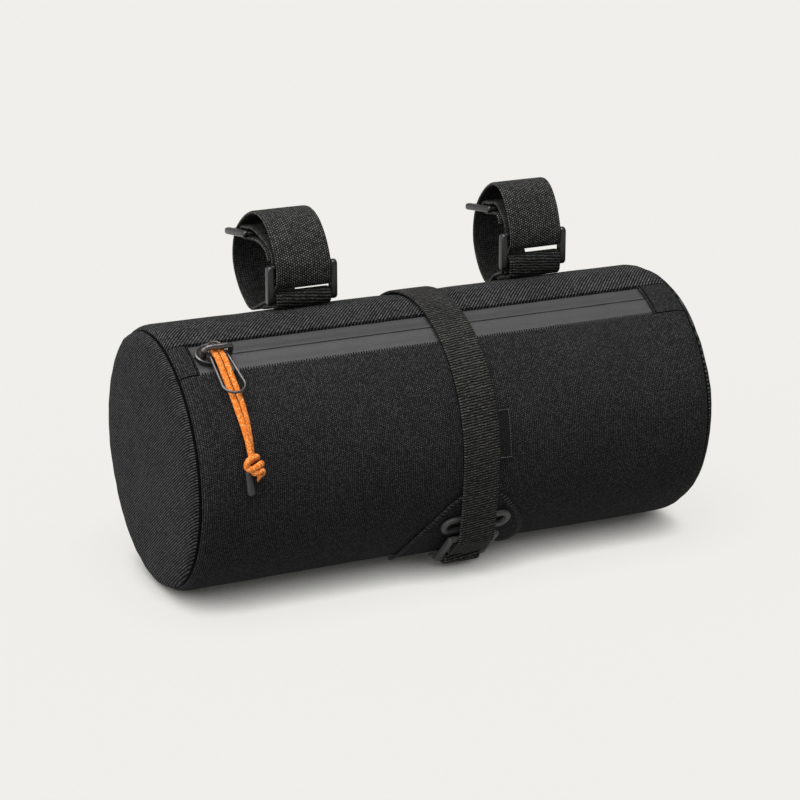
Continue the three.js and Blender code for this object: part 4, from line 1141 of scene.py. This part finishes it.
def anchor_course():
    lie = PATCH_TOP + 1.4 * CLEARANCE + CENTRE_WEBBING / 2
    bar = LOCK_LENGTH / 2 - LOCK_BAR / 2
    points = [polar(-67, lie), polar(-63, lie), polar(-59.5, lie)]
    points.append(tangent_point(LOCK_ANGLE, bar + 0.0015, LOCK_HEIGHT - CENTRE_PITCH))
    for turn in range(-90, 91, 30):
        points.append(tangent_point(LOCK_ANGLE, bar - CENTRE_PITCH * cosd(turn),
                                    LOCK_HEIGHT + CENTRE_PITCH * sind(turn)))
    points.append(tangent_point(LOCK_ANGLE, bar + 0.0022, LOCK_HEIGHT + CENTRE_PITCH * 0.8))
    points.append(polar(-58.5, lie + 0.0036))
    points.append(polar(-61.5, lie + CENTRE_WEBBING + CLEARANCE + 0.0003))
    points.append(polar(-64, lie + CENTRE_WEBBING + CLEARANCE))
    return smooth_course(points, 160)


def patch_half(share):
    return float(np.interp(share, *zip(*PATCH_OUTLINE))) * PATCH_HALF_WIDTH


def add_patch():
    angles = edge_rows(PATCH_END_ANGLE, PATCH_TOP_ANGLE, 1.0, 0.5)
    columns = np.concatenate([[-1, -0.985], np.linspace(-0.96, 0.96, 44), [0.985, 1]])
    outer = np.empty((len(columns), len(angles), 3))
    inner = np.empty_like(outer)
    uv = np.empty((len(columns), len(angles), 2))
    for j, angle in enumerate(angles):
        share = (PATCH_TOP_ANGLE - angle) / (PATCH_TOP_ANGLE - PATCH_END_ANGLE)
        half = patch_half(share)
        for i, c in enumerate(columns):
            down = 0.0004 if i in (0, len(columns) - 1) or j in (0, len(angles) - 1) else 0
            x = CENTRE_X + c * half
            rise = 0.00015 * wobble(x * 120, angle * 1.5, 3)
            outer[i, j] = on_barrel(x, angle, PATCH_TOP - down + rise - 0.0001)
            inner[i, j] = on_barrel(x, angle, PATCH_TOP - PATCH_WALL)
            uv[i, j] = (x, math.radians(angle) * BARREL_RADIUS)
    dress(shell("patch", outer, inner, uv), CLOTH_FRONT, "cloth", "base_patch")
    places = []
    thread_height = PATCH_TOP + 0.0001
    for side in (-1, 1):
        for share in np.linspace(0.0, 0.97, 36):
            angle = PATCH_TOP_ANGLE + share * (PATCH_END_ANGLE - PATCH_TOP_ANGLE)
            n = barrel_normal(angle)
            place = on_barrel(CENTRE_X + side * (patch_half(share) - 0.0004), angle, thread_height)
            places.append((place, ALONG * side * 0.9 + up_round(n) * 0.35, n))
    n = barrel_normal(PATCH_TOP_ANGLE)
    for x in np.arange(-patch_half(0) + 0.001, patch_half(0), 0.0014):
        places.append((on_barrel(CENTRE_X + x, PATCH_TOP_ANGLE - 0.4, thread_height), up_round(n), n))
    stitches("patch_overcast", places, 0.0027, 0.00032, THREAD_LIGHT)


def add_ring():
    place = seat_matrix(CENTRE_X + 0.001, RING_ANGLE, PATCH_TOP + CLEARANCE + RING_THICKNESS / 2)
    straight = (RING_LENGTH - RING_HEIGHT) / 2
    middle_radius = RING_HEIGHT / 2 - RING_BAND / 2
    line = []
    for side, start in ((1, -90), (-1, 90)):
        for x in np.linspace(-straight, straight, 14):
            line.append(((side * x, -side * middle_radius), (0, -side)))
        for t in np.linspace(start, start + 180, 18)[1:-1]:
            c, s = cosd(t), sind(t)
            line.append(((side * straight + middle_radius * c, middle_radius * s), (c, s)))
    r = RING_ROUNDING
    outline = []
    for right, top, start in ((1, 1, 0), (-1, 1, 90), (-1, -1, 180), (1, -1, 270)):
        for t in (0, 30, 60, 90):
            outline.append((right * (RING_BAND / 2 - r) + r * cosd(start + t),
                            top * (RING_THICKNESS / 2 - r) + r * sind(start + t)))
    sections = [np.array([tuple(place @ Vector((x + nx * o, y + ny * o, z))) for o, z in outline])
                for (x, y), (nx, ny) in line]
    ring = swept("ring", sections, np.arange(len(line)) * 0.001, np.arange(len(outline)) * 0.001, closed=True)
    flip_if_inside_out(ring)
    dress(ring, PLASTIC_FLAT, "plastic", "lash_ring")


def add_label():
    from_x = CENTRE_X + CENTRE_WIDTH / 2 + CLEARANCE * 0.5
    lie = BARREL_RADIUS + CLEARANCE
    half = math.degrees(LABEL_HEIGHT / 2 / lie)
    rise = lambda x, angle: 0.0003 * math.sin((x - from_x) / LABEL_WIDTH * 2.2)
    grids = band_on_barrel(from_x, from_x + LABEL_WIDTH, LABEL_ANGLE - half, LABEL_ANGLE + half,
                           lie + LABEL_WALL, LABEL_WALL, 0.0008, 0.0002, rise)
    dress(shell("label", *grids), SATIN, "webbing", "label_tab")


def add_middle_strap():
    strap = webbing("middle_webbing", centre_course(), CENTRE_WIDTH, CENTRE_WEBBING, CENTRE_X)
    dress(strap, GROSGRAIN, "webbing", "centre_strap")
    anchor = webbing("lock_webbing", anchor_course(), CENTRE_WIDTH, CENTRE_WEBBING, CENTRE_X)
    dress(anchor, GROSGRAIN, "webbing", "lock_anchor")
    middle = LOCK_LENGTH / 2
    place = seat_matrix(CENTRE_X, LOCK_ANGLE, LOCK_HEIGHT) @ Matrix.Translation((0, -middle, 0))
    bars = [(LOCK_BAR / 2, LOCK_BAR), (middle, LOCK_BAR), (LOCK_LENGTH - LOCK_BAR / 2, LOCK_BAR)]
    width = CENTRE_WIDTH + 2 * LOCK_RAIL + 0.002
    ladder("lock", place, width, LOCK_LENGTH, LOCK_RAIL, LOCK_BAR, LOCK_BAR, bars, PLASTIC_FLAT,
           "ladder_lock")


add_patch()
add_ring()
add_label()
add_middle_strap()


# ---------------------------------------------------------------- handlebar straps


def buckle_foot(row):
    return BARREL_RADIUS + row["buckle_lift"]


def foot_angle(y, lie):
    return math.degrees(math.acos(-y / lie))


def wrap(row, bar, turns):
    """Part of a turn round one of the buckle's bars."""
    return [(row["buckle_y"] + WRAP_ACROSS * cosd(turn), buckle_foot(row) + row[bar] + WRAP_UP * sind(turn))
            for turn in turns]


def strap_anchor_course(row):
    lie = BARREL_RADIUS + CLEARANCE + STRAP_WEBBING / 2
    front, back = row["buckle_y"] - WRAP_ACROSS, row["buckle_y"] + WRAP_ACROSS
    foot = np.linspace(STRAP_FOOT_END_ANGLE - 3, foot_angle(front + 0.003, lie), 5)
    points = [polar(a, lie) for a in foot]
    points.append((front + 0.0009, polar(foot_angle(front + 0.0009, lie), lie)[1] + 0.0005))
    points.append((front + 0.0001, polar(foot_angle(front, lie), lie)[1] + 0.0018))
    points += wrap(row, "low_bar", range(180, -1, -30))
    points.append((back, polar(foot_angle(back, lie), lie)[1] + STRAP_WEBBING / 2 + 2 * CLEARANCE))
    return smooth_course(points, 160)


def loop_point(row, share):
    return np.array([row["buckle_y"] - WRAP_ACROSS + share[0] * row["loop_depth"],
                     BARREL_RADIUS + share[1] * row["loop_height"]])


def keeper_place(row):
    tilt = math.radians(KEEPER_TILT)
    along = np.array([math.cos(tilt), math.sin(tilt)])
    out = np.array([-along[1], along[0]])
    return loop_point(row, LOOP_COURSE[KEEPER_ROW]) - along * KEEPER_BEFORE_LOOP, along, out


def strap_course(row):
    lie = BARREL_RADIUS + 2 * CLEARANCE + 1.5 * STRAP_WEBBING
    start = foot_angle(row["buckle_y"] + WRAP_ACROSS + STRAP_WEBBING / 2 + 0.002, lie)
    points = [polar(a, lie) for a in np.linspace(start, STRAP_FOOT_END_ANGLE, 4)]
    points += [loop_point(row, share) for share in LOOP_COURSE]
    front, inside = row["buckle_y"] - WRAP_ACROSS, row["buckle_y"] + WRAP_ACROSS
    over = buckle_foot(row) + row["buckle_height"]
    points.append((front, over - 0.0005))
    points += wrap(row, "middle_bar", range(180, 361, 30))
    points += [(inside, over - 0.0005), (inside + 0.0008, over + 0.0032), (inside + 0.0038, over + 0.007)]
    bar, along, out = keeper_place(row)
    pitch = KEEPER_BAR_DEPTH / 2 + FOLD_CLEARANCE + STRAP_WEBBING / 2
    across = KEEPER_BAR / 2 + FOLD_CLEARANCE + STRAP_WEBBING / 2
    points.append(bar - along * (KEEPER_REACH + 0.002) + out * pitch)
    points.append(bar - along * KEEPER_REACH / 2 + out * pitch)
    for turn in range(90, -91, -30):
        points.append(bar + along * across * cosd(turn) + out * pitch * sind(turn))
    points.append(bar - along * KEEPER_REACH / 2 - out * pitch)
    end = bar - along * (KEEPER_REACH + 0.002) - out * pitch
    points.append(end)
    behind = row["buckle_y"] + WRAP_ACROSS + 2.4 * STRAP_WEBBING
    if row["side"] == "left":
        points.append((behind + (end[0] - behind) * 0.55, end[1] + 0.0003))
        points.append((behind + (end[0] - behind) * 0.18, end[1] - 0.0022))
        points.append((behind + 0.0008, end[1] - 0.0066))
    else:
        points.append((end[0] - 0.0024, end[1] - 0.0016))
        points.append((end[0] - 0.0036, end[1] - 0.0046))
    return smooth_course(points, 700)


def add_handlebar_strap(row):
    side, x = row["side"], row["x"]
    strap = webbing(f"loop_webbing_{side}", strap_course(row), STRAP_WIDTH, STRAP_WEBBING, x, 0.0002,
                    backed=True)
    dress(strap, WEBBING, "webbing", f"handlebar_strap_{side}")
    anchor = webbing(f"anchor_webbing_{side}", strap_anchor_course(row), STRAP_WIDTH, STRAP_WEBBING, x)
    dress(anchor, ANCHOR_WEBBING, "webbing", f"strap_anchor_{side}")
    width = STRAP_WIDTH + 2 * BUCKLE_RAIL + 0.001
    foot = world(x, (row["buckle_y"], buckle_foot(row)))
    upright = Matrix.Translation(foot) @ Matrix.Rotation(math.pi / 2, 4, "X")
    bars = [(row["low_bar"], BUCKLE_BAR), (row["middle_bar"], BUCKLE_BAR),
            (row["buckle_height"] - BUCKLE_TOP_BAR / 2, BUCKLE_TOP_BAR)]
    ladder(f"buckle_{side}", upright, width, row["buckle_height"], BUCKLE_RAIL, BUCKLE_RAIL_DEPTH,
           BUCKLE_BAR_DEPTH, bars, PLASTIC, f"strap_buckle_{side}")
    bar = keeper_place(row)[0]
    start = KEEPER_BAR / 2
    middle = start + KEEPER_REACH
    last = middle + KEEPER_BEFORE_LOOP + KEEPER_BEHIND_LOOP
    lean = Matrix.Translation(world(x, bar)) @ Matrix.Rotation(math.radians(KEEPER_TILT), 4, "X")
    lean = lean @ Matrix.Translation((0, -middle, 0))
    ladder(f"keeper_{side}", lean, width, last + KEEPER_BAR / 2, BUCKLE_RAIL, KEEPER_RAIL_DEPTH,
           KEEPER_BAR_DEPTH, [(at, KEEPER_BAR) for at in (start, middle, last)], PLASTIC,
           f"strap_keeper_{side}")


for strap_row in STRAPS:
    add_handlebar_strap(strap_row)


# ---------------------------------------------------------------- stitching


def add_seam_stitches():
    """Thread along both edges of the zipper, the garages' inner ends and the seams of the end discs, and a
    dark ring of painted shade in the groove of each end seam.
    """
    sunk = BARREL_RADIUS - 0.0004
    places = []
    n = barrel_normal(ZIP_BOTTOM_ANGLE)
    for x in np.arange(-0.1295, 0.1225, 0.0014):
        angle = ZIP_BOTTOM_ANGLE + 0.45 + 0.35 * wobble(x * 1300, 5)
        places.append((on_barrel(float(x), angle, sunk), up_round(n) + ALONG * 0.4 * wobble(x * 900, 1), n))
    stitches("zip_overcast", places, 0.0017, 0.0003, THREAD)
    places = [(on_barrel(float(x), ZIP_TOP_ANGLE + 0.35, sunk), ALONG, barrel_normal(ZIP_TOP_ANGLE))
              for x in np.arange(-0.134, 0.134, 0.0026)]
    stitches("zip_topstitch", places, 0.0023, 0.00028, THREAD)
    places = []
    for edge in (GARAGE_LEFT_LENGTH - HALF_LENGTH - 0.0012, HALF_LENGTH - GARAGE_RIGHT_LENGTH + 0.0012):
        for angle in np.arange(ZIP_BOTTOM_ANGLE + 1.2, ZIP_TOP_ANGLE - 1, 2.0):
            n = barrel_normal(angle)
            places.append((on_barrel(edge, angle, BARREL_RADIUS + 0.0001), up_round(n), n))
    stitches("garage_stitch", places, 0.002, 0.00026, THREAD)
    sunk = SEAM_RADIUS - 0.0004
    places = []
    for sign in (-1, 1):
        for turn in np.arange(0, 360, 1.25):
            n = barrel_normal(turn)
            place = on_barrel(sign * HALF_LENGTH, turn, sunk)
            if place.z > 0.0012:
                outwards = ALONG * sign * 0.6
                places.append((place, outwards + n * 0.5 + up_round(n) * 0.3, n + outwards))
    stitches("cap_overcast", places, 0.0022, 0.00036, THREAD)
    # Painted shade: a very dark closed tube laid in the groove of each end seam, standing in for the groove's
    # shadow.
    for side, sign in (("left", -1), ("right", 1)):
        x = sign * (HALF_LENGTH + 0.0002)
        seam = [tuple(on_barrel(x, turn, sunk)) for turn in np.arange(0, 360, 2.0)]
        dress(tube(f"painted_seam_shade_{side}", seam, 0.0008, 10, closed=True), THREAD, "webbing")


def bar_tack(x, reach, angles, lie):
    """Two rows of stitches across a strap's foot."""
    return [(on_barrel(x + float(step), angle, lie), ALONG, barrel_normal(angle))
            for angle in angles for step in np.arange(-reach, reach + 0.0001, TACK_PITCH)]


def add_strap_stitches():
    """Bar tacks that sew the straps' feet to the bag, and the label's edge."""
    places = []
    for row in STRAPS:
        places += bar_tack(row["x"], 0.0125, (STRAP_FOOT_END_ANGLE - 1.5, STRAP_FOOT_END_ANGLE - 3.2),
                           BARREL_RADIUS + 2 * CLEARANCE + 2 * STRAP_WEBBING)
    places += bar_tack(CENTRE_X, 0.0085, (REAR_SEAM_ANGLE - 4, REAR_SEAM_ANGLE - 8),
                       BARREL_RADIUS + CLEARANCE + CENTRE_WEBBING)
    stitches("bar_tacks", places, 0.0015, 0.00026, THREAD_LIGHT)
    places = []
    near = CENTRE_X + CENTRE_WIDTH / 2 + CLEARANCE
    lie = BARREL_RADIUS + CLEARANCE + LABEL_WALL
    half = math.degrees(LABEL_HEIGHT / 2 / lie)
    lie += 0.0001
    low, high = LABEL_ANGLE - half, LABEL_ANGLE + half
    for angle in (low + 1.1, high - 1.1):
        for x in np.arange(0.0006, LABEL_WIDTH - 0.0004, 0.001):
            places.append((on_barrel(near + float(x), angle, lie), ALONG, barrel_normal(angle)))
    for angle in np.arange(low + 1.1, high - 1, 1.1):
        n = barrel_normal(angle)
        places.append((on_barrel(near + LABEL_WIDTH - 0.0007, angle, lie), up_round(n), n))
    stitches("label_stitch", places, 0.0011, 0.00022, THREAD_EDGE)


add_seam_stitches()
add_strap_stitches()


# ---------------------------------------------------------------- floor and light


def add_floor():
    size = 6.0
    verts = [(-size, -size, 0), (size, -size, 0), (size, size, 0), (-size, size, 0)]
    floor = add_mesh("floor", verts, [(0, 1, 2, 3)], smooth=False)
    floor.data.materials.append(floor_material())
    floor.visible_diffuse = False


def add_sun(name, towards, strength, spread, shadow=True):
    """A soft lamp so far off that it lights the floor evenly. towards points from the bag to the lamp."""
    data = bpy.data.lights.new(name, "SUN")
    data.energy = strength * math.pi
    data.angle = math.radians(spread)
    data.use_shadow = shadow
    lamp = bpy.data.objects.new(name, data)
    lamp.rotation_euler = Vector(towards).to_track_quat("Z", "Y").to_euler()
    bpy.context.scene.collection.objects.link(lamp)


def add_world(strength):
    made = bpy.data.worlds.new("studio")
    made.use_nodes = True
    background = made.node_tree.nodes["Background"]
    background.inputs["Color"].default_value = (1.0, 0.995, 0.985, 1)
    background.inputs["Strength"].default_value = strength
    bpy.context.scene.world = made


add_floor()
add_world(0.38)
add_sun("overhead", (-0.08, -0.14, 0.98), 1.3, 50)
add_sun("left_fill", (-0.9, -0.2, 0.4), 0.8, 60, shadow=False)
bpy.context.scene.view_settings.view_transform = "Standard"

bpy.context.view_layer.update()
